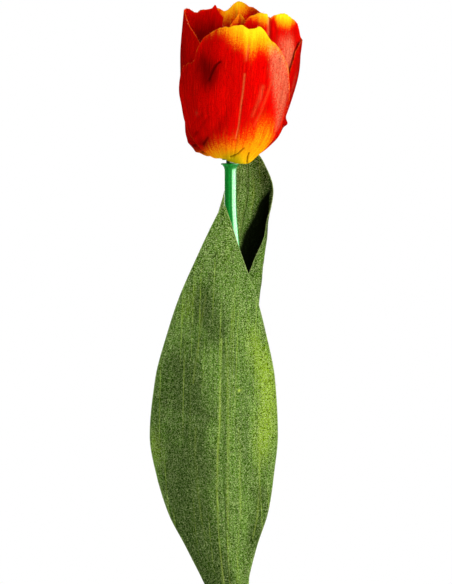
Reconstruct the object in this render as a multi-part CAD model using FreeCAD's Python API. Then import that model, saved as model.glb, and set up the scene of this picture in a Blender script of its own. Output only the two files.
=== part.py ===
# Artificial tulip: cloth petals on a hub and peg, a hollow stem, and two cloth leaves on a sliding sleeve.
# Millimetres. Z is up and Y goes back, away from the front petal. The origin is the stem's foot centre.
import FreeCAD, Part
import os
from math import atan, cos, hypot, pi, radians, sin, sqrt, tan

V = FreeCAD.Vector
UP = V(0, 0, 1)

# Fits that several pieces share
running_gap = 0.05
cloth_gap = 0.3
overrun = 1.0

# Stem tube and its wire
stem_outer_d = 4.8
stem_bore_d = 3.5
stem_straight_len = 243.0
stem_shift = 1.6
stem_bend_len = 27.2
stem_top_len = 14.4
rim_d = 7.7
rim_len = 2.6
rim_lip = 0.4
groove_height = 60.0
groove_depth = 0.3
groove_round_r = 1.2
wire_d = 2.0
wire_inset = 3.0

# Peg that joins the flower to the stem
peg_d = 3.4
peg_depth = 12.0
peg_show = 1.4
peg_seat = 8.0
peg_taper = 0.8
knob_d = 4.4
knob_len = 1.6
knob_round = 0.4

# Hub inside the petals, with the ring that clamps them
hub_d = 6.6
hub_len = 14.0
knob_room = 0.15
ring_width = 1.2
ring_thick = 1.0

# Cup that the petals follow
cup_r = 24.0
cup_h = 64.0
cup_lean_deg = 5.0
front_tuck = 2.4
side_bulge = 1.6
petal_thick = 0.5
petal_pitch = 1.2
inner_tuck = 3.0

# Centre of the flower
pistil_d = 3.2
pistil_len = 17.0
pistil_seat = 1.8
pistil_seat_d = 2.2
stigma_r = 2.1
stigma_thick = 1.7
filament_d = 0.9
filament_len = 17.0
filament_seat = 1.6
filament_ring_r = 2.3
filament_lean_deg = 14.0
stamen_count = 6
anther_d = 2.6
anther_len = 8.0

# Leaf sleeve
sleeve_d = 9.0
sleeve_len = 14.0
sleeve_height = 88.6
sleeve_round = 0.6
foot_height = 2.0

# Leaves and their wire ribs
leaf_thick = 0.5
leaf_wrap_deg = 80.0
rib_d = 1.2
rib_reach_share = 0.62
front_leaf_len = 176.8
front_leaf_half = 26.6
front_leaf_bow = -8.2
front_leaf_reach = 17.6
back_leaf_len = 204.2
back_leaf_half = 19.0
back_leaf_bow = 5.5
back_leaf_reach = 19.7

# Side view of the cup, as shares of its radius and height, from the hub outwards and up
CUP_SHARES = (
    (0.146, 0.005), (0.335, 0.003), (0.515, 0.036), (0.665, 0.087), (0.785, 0.156), (0.870, 0.273),
    (0.941, 0.398), (0.975, 0.515), (1.000, 0.672), (0.992, 0.828), (0.970, 0.969), (0.965, 1.000),
)

# Each petal: the directions of its two edges in degrees (0 is the front, 90 the right), its layer
# counted inwards, how much it tucks in at the top, and its top edge as shares of the cup's height
# at even steps from the first edge to the second.
PETALS = {
    "petal_front": (-77, 67, 0, 0, (0.470, 0.590, 0.727, 0.815, 0.834, 0.840, 0.778, 0.680, 0.520)),
    "petal_back": (133, 233, 0, 0, (0.775, 0.872, 0.935, 0.962, 0.975, 0.986, 0.935, 0.872, 0.775)),
    "petal_left": (-160, -40, 1, 0, (0.872, 0.942, 0.925, 0.925, 0.922, 0.915, 0.882, 0.814, 0.678)),
    "petal_right": (62, 170, 1, 0, (0.581, 0.736, 0.785, 0.833, 0.862, 0.872, 0.853, 0.794, 0.678)),
    "petal_inner_right": (0, 88, 2, 0, (0.823, 0.911, 0.930, 0.928, 0.945, 0.925, 0.896, 0.853, 0.775)),
    "petal_inner_front": (-38, 22, 3, 1, (0.639, 0.717, 0.794, 0.862, 0.925, 0.891, 0.823, 0.746, 0.659)),
}

# Each leaf, by its share of the way up: half width, sideways bow and reach as shares of the leaf's own,
# and the angle in degrees that its cross-section turns through from the middle to an edge. curl adds to
# that angle beside the right edge.
LEAF_SHARES = {
    "front": {
        "half": ((0.083, 0.25), (0.149, 0.36), (0.229, 0.56), (0.308, 0.785), (0.39, 0.91), (0.483, 1.0),
                 (0.61, 0.92), (0.715, 0.755), (0.79, 0.605), (0.90, 0.305), (1.0, 0.03)),
        "bow": ((0, 0), (0.07, 0), (0.149, 0.39), (0.31, 0.78), (0.48, 1.0), (0.715, 0.88), (0.90, 0.71),
                (1.0, 0.54)),
        "reach": ((0, 0), (0.07, 0), (0.27, 0.17), (0.48, 0.45), (0.71, 0.71), (1.0, 1.0)),
        "turn_deg": ((0.07, 66), (0.12, 50), (0.22, 36), (0.48, 28), (0.71, 26), (0.9, 20), (1.0, 10)),
        "curl_deg": ((0, 0), (1.0, 0)),
    },
    "back": {
        "half": ((0.07, 0.36), (0.13, 0.5), (0.27, 0.8), (0.46, 1.0), (0.61, 0.9), (0.756, 0.76),
                 (0.854, 0.62), (0.903, 0.53), (0.952, 0.34), (1.0, 0.04)),
        "bow": ((0, 0), (0.065, 0), (0.27, -0.55), (0.46, -0.55), (0.66, -0.2), (0.756, 0.1),
                (0.854, 0.72), (0.903, 0.98), (0.952, 0.95), (1.0, 0.62)),
        "reach": ((0, 0), (0.065, 0), (0.26, 0.18), (0.5, 0.43), (0.76, 0.72), (1.0, 1.0)),
        "turn_deg": ((0.065, 66), (0.12, 52), (0.46, 36), (0.66, 46), (0.76, 54), (0.86, 48), (0.92, 38),
                     (1.0, 20)),
        "curl_deg": ((0, 0), (0.56, 0), (0.69, 60), (0.81, 50), (0.9, 10), (1.0, 0)),
    },
}
LEAVES = {
    "front": (-1, front_leaf_len, front_leaf_half, front_leaf_bow, front_leaf_reach),
    "back": (1, back_leaf_len, back_leaf_half, back_leaf_bow, back_leaf_reach),
}

# How finely cloth and curves are laid out, and the counts of what repeats. The power brings the rows of
# points closer together near a cloth's foot, where it bends most.
GRID_ROWS = 20
GRID_COLUMNS = 12
ROW_POWER = 1.5
CURVE_STEPS = 16
ANTHER_STEPS = 8
RIB_RUNS = 8
STIGMA_LOBES = 3

# Shares that shape the small pieces
STEP_SHARE = 0.001
ARC_SHARE = 0.45
CURL_START_SHARE = 0.4
WAIST_UP_SHARE = 0.5
WAIST_OUT_SHARE = 0.25
PISTIL_SLIM_SHARE = 0.78
PISTIL_WIDEST_SHARE = 0.4
LOBE_SHARE = 0.62
LOBE_ROUND_SHARE = 0.33
ANTHER_FOOT_SHARE = 0.12

stem_r = stem_outer_d / 2
bore_r = stem_bore_d / 2
bend_angle = 2 * atan(stem_shift / stem_bend_len)
bend_r = stem_bend_len / 2 / sin(bend_angle)
bend_start_z = stem_straight_len
bend_end_z = bend_start_z + stem_bend_len
rim_z = bend_end_z + stem_top_len
head_z = rim_z + peg_show
hub_r = hub_d / 2
sleeve_r = sleeve_d / 2
foot_z = sleeve_height + foot_height
foot_r = sleeve_r + cloth_gap


def steepness(before, after):
    """Slope where two straight spans meet, level at a peak or a hollow, so that no curve overshoots."""
    return 0 if before * after <= 0 else 2 * before * after / (before + after)


def smooth(table, at):
    """A value on the smooth curve through a table's (place, value) pairs."""
    if at <= table[0][0]:
        return table[0][1]
    if at >= table[-1][0]:
        return table[-1][1]
    slopes = [(b[1] - a[1]) / (b[0] - a[0]) for a, b in zip(table, table[1:])]
    slopes = [slopes[0]] + slopes + [slopes[-1]]
    i = max(k for k in range(len(table) - 1) if table[k][0] <= at)
    place, value = table[i]
    span = table[i + 1][0] - place
    rise = table[i + 1][1] - value
    start = steepness(slopes[i], slopes[i + 1]) * span
    end = steepness(slopes[i + 1], slopes[i + 2]) * span
    t = (at - place) / span
    return value + rise * t * t * (3 - 2 * t) + start * t * (1 - t) ** 2 - end * t * t * (1 - t)


def revolved(points, centre, axis=UP):
    """A closed outline of (radius, height) pairs turned about an axis through centre."""
    turn = FreeCAD.Rotation(UP, axis)
    corners = [centre + turn.multVec(V(r, 0, z)) for r, z in points]
    face = Part.Face(Part.makePolygon(corners + corners[:1]))
    return face.revolve(centre, axis, 360)


def swept(edges, radius):
    """A round bar along a path of edges that meet tangentially."""
    path = Part.Wire(edges)
    start = edges[0].valueAt(edges[0].FirstParameter)
    heading = edges[0].tangentAt(edges[0].FirstParameter)
    ring = Part.Wire(Part.makeCircle(radius, start, heading))
    return path.makePipeShell([ring], True, False)


def bent_path(points):
    """Straight runs through the points, joined by tangent arcs as large as the runs allow."""
    edges = []
    last = points[0]
    for before, corner, after in zip(points, points[1:], points[2:]):
        run_in = (corner - before).normalize()
        run_out = (after - corner).normalize()
        half_turn = run_in.getAngle(run_out) / 2
        cut = ARC_SHARE * min((corner - before).Length, (after - corner).Length)
        radius = cut / tan(half_turn)
        arc_start = corner - run_in * cut
        arc_end = corner + run_out * cut
        inward = (run_out - run_in).normalize()
        middle = corner + inward * (radius / cos(half_turn) - radius)
        edges.append(Part.LineSegment(last, arc_start).toShape())
        edges.append(Part.Arc(arc_start, middle, arc_end).toShape())
        last = arc_end
    edges.append(Part.LineSegment(last, points[-1]).toShape())
    return edges


def stem_path(low_z, high_z, back=0):
    """The stem's line: straight, two arcs that make an S, and straight again."""
    def lower(angle):
        return V(-bend_r * (1 - cos(angle)), back, bend_start_z + bend_r * sin(angle))

    def upper(angle):
        return V(-stem_shift + bend_r * (1 - cos(angle)), back, bend_end_z - bend_r * sin(angle))

    edges = [
        Part.LineSegment(V(0, back, low_z), lower(0)).toShape(),
        Part.Arc(lower(0), lower(bend_angle / 2), lower(bend_angle)).toShape(),
        Part.Arc(upper(bend_angle), upper(bend_angle / 2), upper(0)).toShape(),
    ]
    if high_z > bend_end_z:
        edges.append(Part.LineSegment(upper(0), V(-stem_shift, back, high_z)).toShape())
    return edges


def cloth(place, thickness):
    """A closed solid between place(u, v, 0) and place(u, v, thickness), for u and v from 0 to 1."""
    ups = [(j / GRID_ROWS) ** ROW_POWER for j in range(GRID_ROWS + 1)]

    def side(depth):
        rows = [[place(i / GRID_COLUMNS, up, depth) for up in ups] for i in range(GRID_COLUMNS + 1)]
        surface = Part.BSplineSurface()
        surface.interpolate(rows)
        return surface

    near = side(0)
    far = side(thickness)
    faces = [near.toShape(), far.toShape()]
    for value in (0, 1):
        for curves in ((near.uIso(value), far.uIso(value)), (near.vIso(value), far.vIso(value))):
            faces.append(Part.makeRuledSurface(curves[0].toShape(), curves[1].toShape()))
    shell = Part.makeShell(faces)
    shell.sewShape()
    solid = Part.makeSolid(shell)
    if solid.Volume < 0:
        solid.reverse()
    return solid


def stem_tube():
    """Hollow stem with a flared rim and a pinch groove that holds the wire."""
    neck_z = rim_z - rim_len
    outside = swept(stem_path(0, neck_z), stem_r)
    inside = swept(stem_path(-overrun, neck_z + overrun), bore_r)
    flare_r = rim_d / 2
    waist_r = stem_r + (flare_r - stem_r) * WAIST_OUT_SHARE
    waist_z = neck_z + rim_len * WAIST_UP_SHARE
    rim = revolved(
        (
            (bore_r, neck_z), (stem_r, neck_z), (waist_r, waist_z), (flare_r, rim_z),
            (flare_r - rim_lip, rim_z), (waist_r - (stem_r - bore_r), waist_z),
        ),
        V(-stem_shift, 0, 0),
    )
    groove = Part.makeTorus(
        stem_r + groove_round_r - groove_depth, groove_round_r,
        V(0, 0, groove_height + groove_width() / 2), UP,
    )
    return outside.cut(inside).fuse(rim).cut(groove).removeSplitter()


def groove_width():
    """How much of the stem's wall the pinch groove takes up."""
    return 2 * sqrt(groove_round_r ** 2 - (groove_round_r - groove_depth) ** 2)


def stem_wire():
    """Steel wire that lies along the back of the bore, up to the end of the S bend."""
    radius = wire_d / 2
    return swept(stem_path(wire_inset, bend_end_z, bore_r - radius - running_gap), radius)


def head_peg():
    """Peg with a tapered foot, and a knob that keeps the hub on it."""
    radius = peg_d / 2
    low = rim_z - peg_depth
    neck = head_z + peg_seat
    top = neck + knob_len
    return revolved(
        (
            (0, low), (radius - peg_taper / 2, low), (radius, low + peg_taper), (radius, neck),
            (knob_d / 2, neck + knob_round), (knob_d / 2, top - knob_round),
            (knob_d / 2 - knob_round, top), (0, top),
        ),
        V(-stem_shift, 0, 0),
    )


def stamen_directions():
    """The directions, as unit vectors, in which the stamens stand round the pistil."""
    turns = [2 * pi * (k + 0.5) / stamen_count for k in range(stamen_count)]
    return [V(sin(turn), -cos(turn), 0) for turn in turns]


def stamen_frames():
    """Foot and heading of each filament."""
    top = V(-stem_shift, 0, head_z + hub_len)
    lean = radians(filament_lean_deg)
    frames = []
    for out in stamen_directions():
        foot = top + out * filament_ring_r
        frames.append((foot, UP * cos(lean) + out * sin(lean)))
    return frames


def receptacle():
    """Hub that turns on the peg and carries the petals, the pistil and the stamens."""
    bore = peg_d / 2 + running_gap
    room = knob_d / 2 + knob_room
    room_low = head_z + peg_seat - running_gap
    room_top = head_z + peg_seat + knob_len + running_gap
    top = head_z + hub_len
    axis = V(-stem_shift, 0, 0)
    body = revolved(
        (
            (bore, head_z), (hub_r, head_z), (hub_r, top), (0, top),
            (0, room_top), (room, room_top), (room, room_low), (bore, room_low),
        ),
        axis,
    )
    seat = Part.makeCylinder(
        pistil_seat_d / 2 + running_gap, pistil_seat + overrun, axis + UP * (top - pistil_seat), UP
    )
    holes = [
        Part.makeCylinder(
            filament_d / 2 + running_gap, filament_seat + running_gap + overrun,
            foot - heading * (filament_seat + running_gap), heading,
        )
        for foot, heading in stamen_frames()
    ]
    return body.cut([seat] + holes)


def leaned(point):
    """A point of the upright cup turned to the side by the cup's lean, and placed on the hub."""
    turn = FreeCAD.Rotation(V(0, 1, 0), cup_lean_deg)
    return V(-stem_shift, 0, head_z) + turn.multVec(point)


def cup_length_table():
    """(length up the cup's side, radius, height) at each point of the cup's side view."""
    rows = []
    length = 0
    for r_share, h_share in CUP_SHARES:
        r, h = cup_r * r_share, cup_h * h_share
        if rows:
            length += hypot(r - rows[-1][1], h - rows[-1][2])
        rows.append((length, r, h))
    return rows


CUP_ROWS = cup_length_table()
CUP_RADII = [(length, r) for length, r, h in CUP_ROWS]
CUP_HEIGHTS = [(length, h) for length, r, h in CUP_ROWS]
CUP_LENGTHS = [(h, length) for length, r, h in CUP_ROWS[1:]]
cup_len = CUP_ROWS[-1][0]


def cup_point(length, azimuth, depth):
    """A point inside the cup, by its length up the side, its direction and its depth under the surface."""
    step = cup_len * STEP_SHARE
    low = max(length - step, 0)
    r, h = smooth(CUP_RADII, length), smooth(CUP_HEIGHTS, length)
    dr = smooth(CUP_RADII, low + step) - smooth(CUP_RADII, low)
    dh = smooth(CUP_HEIGHTS, low + step) - smooth(CUP_HEIGHTS, low)
    slope = hypot(dr, dh)
    up_share = length / cup_len
    tuck = front_tuck * max(0, cos(azimuth)) ** 2 * up_share ** 4
    bulge = side_bulge * sin(azimuth) ** 2 * up_share
    r += -depth * dh / slope - tuck + bulge
    h += depth * dr / slope
    return leaned(V(r * sin(azimuth), -r * cos(azimuth), h))


def petal(first_deg, last_deg, layer, tucks, top_shares):
    """A cloth petal from the hub up to its own top edge."""
    tops = [(k / (len(top_shares) - 1), share) for k, share in enumerate(top_shares)]

    def place(u, v, depth):
        azimuth = radians(first_deg + (last_deg - first_deg) * u)
        length = v * smooth(CUP_LENGTHS, cup_h * smooth(tops, u))
        tuck = tucks * inner_tuck * v ** 3
        return cup_point(length, azimuth, layer * petal_pitch + tuck + depth)

    return cloth(place, petal_thick)


def petal_ring():
    """Ring that sits on the petals' feet round the hub."""
    layers = max(spec[2] for spec in PETALS.values())
    low = CUP_ROWS[0][2] + layers * petal_pitch + petal_thick + cloth_gap
    inner = hub_r + running_gap + ring_thick * tan(radians(cup_lean_deg))
    outer = inner + ring_width
    foot = leaned(V(0, 0, low))
    axis = leaned(V(0, 0, low + ring_thick)) - foot
    centre = V(-stem_shift, 0, foot.z)
    disc = Part.makeCylinder(outer, ring_thick, centre, axis)
    bore = Part.makeCylinder(inner, ring_thick + 2 * overrun, centre - axis.normalize() * overrun, axis)
    return disc.cut(bore)


def pistil():
    """Green column whose spigot sits in the hub."""
    top = head_z + hub_len
    radius = pistil_d / 2
    slim_r = radius * PISTIL_SLIM_SHARE
    return revolved(
        (
            (0, top - pistil_seat), (pistil_seat_d / 2, top - pistil_seat), (pistil_seat_d / 2, top),
            (slim_r, top), (radius, top + pistil_len * PISTIL_WIDEST_SHARE),
            (slim_r, top + pistil_len), (0, top + pistil_len),
        ),
        V(-stem_shift, 0, 0),
    )


def stigma():
    """Three rounded lobes on top of the pistil."""
    base = V(-stem_shift, 0, head_z + hub_len + pistil_len)
    lobe_r = stigma_r * LOBE_SHARE
    lobes = []
    for k in range(STIGMA_LOBES):
        turn = 2 * pi * k / STIGMA_LOBES
        centre = base + V(sin(turn), -cos(turn), 0) * (stigma_r - lobe_r)
        lobes.append(Part.makeCylinder(lobe_r, stigma_thick, centre, UP))
    joined = lobes[0].fuse(lobes[1:]).removeSplitter()
    middle_z = base.z + stigma_thick / 2
    top_edges = [e for e in joined.Edges if min(v.Point.z for v in e.Vertexes) > middle_z]
    return joined.makeFillet(stigma_thick * LOBE_ROUND_SHARE, top_edges)


def filament(foot, heading):
    """Thin round stalk that stands in the hub."""
    return Part.makeCylinder(
        filament_d / 2, filament_len + filament_seat, foot - heading * filament_seat, heading
    )


def anther(foot, heading):
    """Long pollen head on the end of a filament."""
    first = pi * ANTHER_FOOT_SHARE
    turns = [first + (pi - first) * k / ANTHER_STEPS for k in range(ANTHER_STEPS)]
    outline = [(0, filament_len)]
    for turn in turns:
        up = (cos(first) - cos(turn)) / (1 + cos(first))
        outline.append((anther_d / 2 * sin(turn), filament_len + anther_len * up))
    outline.append((0, filament_len + anther_len))
    return revolved(outline, foot, heading)


def leaf_collar():
    """Sleeve that slides on the stem, with two outward grooves that hold the feet of the ribs."""
    low = sleeve_height
    edge = sleeve_r - sleeve_round
    bore = stem_r + running_gap
    body = revolved(
        (
            (bore, low), (edge, low), (sleeve_r, low + sleeve_round),
            (sleeve_r, low + sleeve_len - sleeve_round), (edge, low + sleeve_len), (bore, low + sleeve_len),
        ),
        V(0, 0, 0),
    )
    slot_r = rib_d / 2 + cloth_gap
    cuts = []
    for side in (-1, 1):
        centre = V(0, side * rib_line_r(), low - overrun)
        cuts.append(Part.makeCylinder(slot_r, sleeve_len + 2 * overrun, centre, UP))
        near = min(centre.y, centre.y + side * sleeve_r)
        cuts.append(
            Part.makeBox(2 * slot_r, sleeve_r, sleeve_len + 2 * overrun, V(-slot_r, near, low - overrun))
        )
    return body.cut(cuts)


def rib_line_r():
    """How far from the stem's axis the foot of a rib stands."""
    return foot_r - rib_d / 2 - cloth_gap


def leaf_point(kind, across, up):
    """A point of a leaf's inner face. across runs from -1, the left edge, to 1, and up from 0 to 1."""
    side, length, half, bow, reach = LEAVES[kind]
    shares = LEAF_SHARES[kind]
    wrap = radians(leaf_wrap_deg)
    half_rows = ((0, foot_r * wrap / half),) + shares["half"]
    turn_rows = ((0, leaf_wrap_deg),) + shares["turn_deg"]
    width = half * smooth(half_rows, up)
    turn = radians(smooth(turn_rows, up))
    curl = radians(smooth(shares["curl_deg"], up))

    def heading(s):
        return turn * s + curl * max(0, s - CURL_START_SHARE) ** 2

    steps = CURVE_STEPS
    ds = across / steps
    x = sum(cos(heading((k + 0.5) * ds)) for k in range(steps)) * width * ds
    y = sum(sin(heading((k + 0.5) * ds)) for k in range(steps)) * width * ds
    return V(
        bow * smooth(shares["bow"], up) + x,
        side * (foot_r + reach * smooth(shares["reach"], up) - y),
        foot_z + length * up,
    )


def leaf_normal(kind, across, up):
    """Unit vector out of a leaf's inner face, away from the stem."""
    d = STEP_SHARE
    low, high = max(up - d, 0), min(up + d, 1)
    over = leaf_point(kind, across + d, up) - leaf_point(kind, across - d, up)
    rise = leaf_point(kind, across, high) - leaf_point(kind, across, low)
    normal = over.cross(rise).normalize()
    return normal if kind == "front" else normal * -1


def leaf_blade(kind):
    """A leaf's cloth blade, wrapped round the sleeve at its foot."""
    def place(u, v, depth):
        across = 2 * u - 1
        return leaf_point(kind, across, v) + leaf_normal(kind, across, v) * depth

    return cloth(place, leaf_thick)


def leaf_rib(kind):
    """Wire rib inside a leaf's fold, straight up out of the sleeve and then along the blade."""
    side, length = LEAVES[kind][:2]
    clear = rib_d / 2 + cloth_gap
    foot = V(0, side * rib_line_r(), foot_z)
    straight_share = (sleeve_len - foot_height) / length
    points = [foot]
    for k in range(RIB_RUNS):
        up = straight_share + (rib_reach_share - straight_share) * k / (RIB_RUNS - 1)
        points.append(leaf_point(kind, 0, up) - leaf_normal(kind, 0, up) * clear)
    bar = swept(bent_path(points), rib_d / 2)
    return bar.fuse(Part.makeSphere(rib_d / 2, foot)).removeSplitter()


def build():
    """Every piece by its name."""
    parts = {
        "stem_tube": stem_tube(),
        "stem_wire": stem_wire(),
        "head_peg": head_peg(),
        "receptacle": receptacle(),
        "petal_ring": petal_ring(),
        "pistil": pistil(),
        "stigma": stigma(),
        "leaf_collar": leaf_collar(),
    }
    for name, spec in PETALS.items():
        parts[name] = petal(*spec)
    for number, (foot, heading) in enumerate(stamen_frames(), 1):
        parts[f"filament_{number}"] = filament(foot, heading)
        parts[f"anther_{number}"] = anther(foot, heading)
    for kind in LEAVES:
        parts[f"leaf_{kind}_blade"] = leaf_blade(kind)
        parts[f"leaf_{kind}_rib"] = leaf_rib(kind)
    return parts


os.makedirs("parts", exist_ok=True)
for node, shape in build().items():
    box = shape.BoundBox
    print(f"{node}: solids {len(shape.Solids)}, valid {shape.isValid()}, volume {shape.Volume:.1f}")
    print(f"    x {box.XMin:.1f} to {box.XMax:.1f}, y {box.YMin:.1f} to {box.YMax:.1f}", end="")
    print(f", z {box.ZMin:.1f} to {box.ZMax:.1f}")
    shape.exportStep(f"parts/{node}.step")
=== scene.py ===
# %% [markdown]
# # Dressing a cloth tulip
# The tulip's structure is already built: a hollow stem, a peg, a hub, and closed sheets that stand where
# the cloth goes. This script loads that structure as a fixed frame and gives it its looks: petals and
# leaves of printed cloth with folds, veins and cut edges, a glossy stem with a torn rim, and a stage to
# see it on. A piece that is only missing its finish keeps its own mesh. A piece that is missing its shape,
# as cloth is, gets a finer mesh that stands in the same place and moves with the same part.

# %% Load the frame
import math

import bpy
import numpy as np
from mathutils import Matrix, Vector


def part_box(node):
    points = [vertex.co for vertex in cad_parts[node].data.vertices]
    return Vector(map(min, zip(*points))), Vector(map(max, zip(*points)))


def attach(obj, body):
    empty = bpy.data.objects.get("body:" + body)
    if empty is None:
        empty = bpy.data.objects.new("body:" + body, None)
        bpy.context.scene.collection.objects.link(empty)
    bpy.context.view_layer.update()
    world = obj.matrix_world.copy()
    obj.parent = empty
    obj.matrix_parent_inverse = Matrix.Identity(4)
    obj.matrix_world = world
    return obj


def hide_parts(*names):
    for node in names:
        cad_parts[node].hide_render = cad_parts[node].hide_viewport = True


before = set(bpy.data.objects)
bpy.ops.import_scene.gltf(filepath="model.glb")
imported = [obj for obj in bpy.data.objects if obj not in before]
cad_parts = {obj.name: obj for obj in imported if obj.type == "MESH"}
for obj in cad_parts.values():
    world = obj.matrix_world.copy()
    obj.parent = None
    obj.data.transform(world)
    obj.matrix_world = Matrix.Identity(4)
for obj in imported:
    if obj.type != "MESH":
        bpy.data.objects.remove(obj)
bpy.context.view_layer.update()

MM = 0.001

# %% [markdown]
# ## Smooth tables
# A petal's top edge or a leaf's width isn't a straight line or a simple formula. A good way to describe it
# is a short table of places and values, joined by a smooth curve. An ordinary spline swings past its
# points where they turn sharply, so this one is level at every peak and hollow and never leaves the
# table's range. It works on whole grids of numbers at once, because each piece of cloth has tens of
# thousands of points.

# %% Smooth tables
def follow(table, at):
    """Values on the smooth curve through a table's (place, value) pairs."""
    places, values = np.array(table, float).T
    at = np.clip(at, places[0], places[-1])
    rises = np.diff(values) / np.diff(places)
    rises = np.concatenate([rises[:1], rises, rises[-1:]])
    before, after = rises[:-1], rises[1:]
    same_way = before * after > 0
    slopes = np.where(same_way, 2 * before * after / np.where(same_way, before + after, 1), 0)
    i = np.clip(np.searchsorted(places, at, "right") - 1, 0, len(places) - 2)
    span = places[i + 1] - places[i]
    rise = values[i + 1] - values[i]
    t = (at - places[i]) / span
    bend = slopes[i] * t * (1 - t) ** 2 - slopes[i + 1] * t * t * (1 - t)
    return values[i] + rise * t * t * (3 - 2 * t) + bend * span


def cloud(across, along, seed):
    """Soft random hills between -1 and 1, about one to a unit of length, and the same on every run."""
    size = 64
    lattice = np.random.default_rng(seed).uniform(-1, 1, (size, size))
    across, along = np.broadcast_arrays(across, along)
    i, j = np.floor(across).astype(int), np.floor(along).astype(int)
    s, t = across - i, along - j
    s, t = s * s * (3 - 2 * s), t * t * (3 - 2 * t)
    low = lattice[i % size, j % size] * (1 - s) + lattice[(i + 1) % size, j % size] * s
    high = lattice[i % size, (j + 1) % size] * (1 - s) + lattice[(i + 1) % size, (j + 1) % size] * s
    return low * (1 - t) + high * t


def near_line(across, along, line, width):
    """1 on a line of (across, along) points, falling smoothly to 0 at about twice the width beside it."""
    nearest = np.full(np.broadcast(across, along).shape, np.inf)
    for (a0, b0), (a1, b1) in zip(line, line[1:]):
        run = (a1 - a0) ** 2 + (b1 - b0) ** 2
        share = np.clip(((across - a0) * (a1 - a0) + (along - b0) * (b1 - b0)) / run, 0, 1)
        away = np.hypot(across - a0 - share * (a1 - a0), along - b0 - share * (b1 - b0))
        nearest = np.minimum(nearest, away)
    return np.exp(-((nearest / width) ** 2))


print("half way between 0 and 10 the curve passes", float(follow(((0, 0), (1, 10)), 0.5)))

# %% [markdown]
# ## Cloth as a grid
# Each piece of cloth is a grid of points: columns run up from its foot, rows run from edge to edge. A
# surface with a thickness could come from a Solidify modifier, but a grid makes it as easy to build both
# faces and the cut edge in one closed mesh, and the outer and inner face can then carry the same print.
# The grid also gives each point its place in a UV map, in decimetres of cloth, so that weave and streaks
# follow the cloth, and any number of marks, which are values that a material can read, such as how far the
# yellow reaches.

# %% Cloth as a grid
CLOTH_THICK = 0.4 * MM
PETAL_CELL = 0.35 * MM
LEAF_CELL = 0.46 * MM
UV_UNIT = 100 * MM
SHARP_DEG = 50


def outward(grid):
    """Unit vectors out of a grid whose columns run across and whose rows run up."""
    normal = np.cross(np.gradient(grid, axis=0), np.gradient(grid, axis=1))
    return normal / np.linalg.norm(normal, axis=-1, keepdims=True)


def closed_mesh(name, outer, inner):
    """A mesh with an outer face, an inner face and the cut edge between them."""
    across, along = outer.shape[:2]
    index = np.arange(across * along).reshape(across, along)
    corners = index[:-1, :-1], index[1:, :-1], index[1:, 1:], index[:-1, 1:]
    front = np.stack(corners, -1).reshape(-1, 4)
    back = front[:, ::-1] + index.size
    edge = np.concatenate([index[:, 0], index[-1, 1:], index[-2::-1, -1], index[0, -2:0:-1]])
    after = np.roll(edge, -1)
    rim = np.stack([after, edge, edge + index.size, after + index.size], -1)
    mesh = bpy.data.meshes.new(name)
    points = np.concatenate([outer.reshape(-1, 3), inner.reshape(-1, 3)])
    mesh.from_pydata(points.tolist(), [], np.concatenate([front, back, rim]).tolist())
    mesh.shade_smooth()
    mesh.set_sharp_from_angle(angle=math.radians(SHARP_DEG))
    return mesh


def put_uv(mesh, uv):
    """The grid's UV places, the same on both faces."""
    corner_points = np.empty(len(mesh.loops), np.int32)
    mesh.loops.foreach_get("vertex_index", corner_points)
    both = np.tile(uv.reshape(-1, 2), (2, 1))
    mesh.uv_layers.new(name="cloth").data.foreach_set("uv", both[corner_points].ravel())


def put_marks(mesh, shape, marks, inner_only=()):
    """The grid's named values from 0 to 1, the same on both faces or on the inner one alone."""
    for name, values in marks.items():
        values = np.broadcast_to(np.clip(values, 0, 1), shape)
        both = np.stack([values * (name not in inner_only), values]).astype(np.float32)
        mesh.attributes.new(name, "FLOAT", "POINT").data.foreach_set("value", both.ravel())


def stand(name, data):
    """An object for a mesh, a lamp or a camera, standing in the scene."""
    item = bpy.data.objects.new(name, data)
    bpy.context.scene.collection.objects.link(item)
    return item


def place_piece(name, mesh, body, slot, *nodes):
    """A piece that moves with a body, and takes the place of the CAD nodes that are named."""
    piece = stand(name, mesh)
    if nodes:
        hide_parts(*nodes)
    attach(piece, body)
    return piece


print("cloth cells are", PETAL_CELL / MM, "and", LEAF_CELL / MM, "mm")

# %% [markdown]
# ## Node helpers
# Materials and Geometry Nodes are both trees of nodes. Written out in full they take many lines, so one
# helper makes a node, sets its options and fills or links its inputs. Colours are written as a painter's
# hex codes, which are made for screens, and Blender works with light, so they are turned into linear
# values.

# %% Node helpers
def ink(code):
    """A linear colour from a hex code."""
    shares = [int(code[i:i + 2], 16) / 255 for i in (0, 2, 4)]
    return (*[c / 12.92 if c <= 0.04045 else ((c + 0.055) / 1.055) ** 2.4 for c in shares], 1)


def add(tree, kind, inputs=None, **options):
    """A node with its options, whose inputs are given values or linked to other nodes."""
    node = tree.nodes.new(kind)
    for name, option in options.items():
        setattr(node, name, option)
    for socket, value in (inputs or {}).items():
        if isinstance(value, bpy.types.NodeSocket):
            tree.links.new(value, node.inputs[socket])
        else:
            node.inputs[socket].default_value = value
    return node


def made(tree, kind, inputs=None, **options):
    """What a new node gives: its first output."""
    return add(tree, kind, inputs, **options).outputs[0]


def maths(tree, operation, first, second=0.0, third=0.0):
    """One step of arithmetic on two or three values."""
    return made(tree, "ShaderNodeMath", {0: first, 1: second, 2: third}, operation=operation)


def times(tree, first, *others):
    """The product of some values."""
    for other in others:
        first = maths(tree, "MULTIPLY", first, other)
    return first


def stirred(tree, value, noise, amount):
    """A value that noise moves up and down, by half the amount at most."""
    return maths(tree, "MULTIPLY_ADD", maths(tree, "SUBTRACT", noise, 0.5), amount, value)


def blend(tree, share, first, second):
    """A colour that goes from the first to the second as share goes from 0 to 1."""
    return add(tree, "ShaderNodeMix", {0: share, 6: first, 7: second}, data_type="RGBA").outputs[2]


def inked(tree, colour, coats):
    """A colour under coats of ink, each with the share that it covers and its hex code."""
    for share, code in coats:
        colour = blend(tree, share, colour, ink(code))
    return colour


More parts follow.
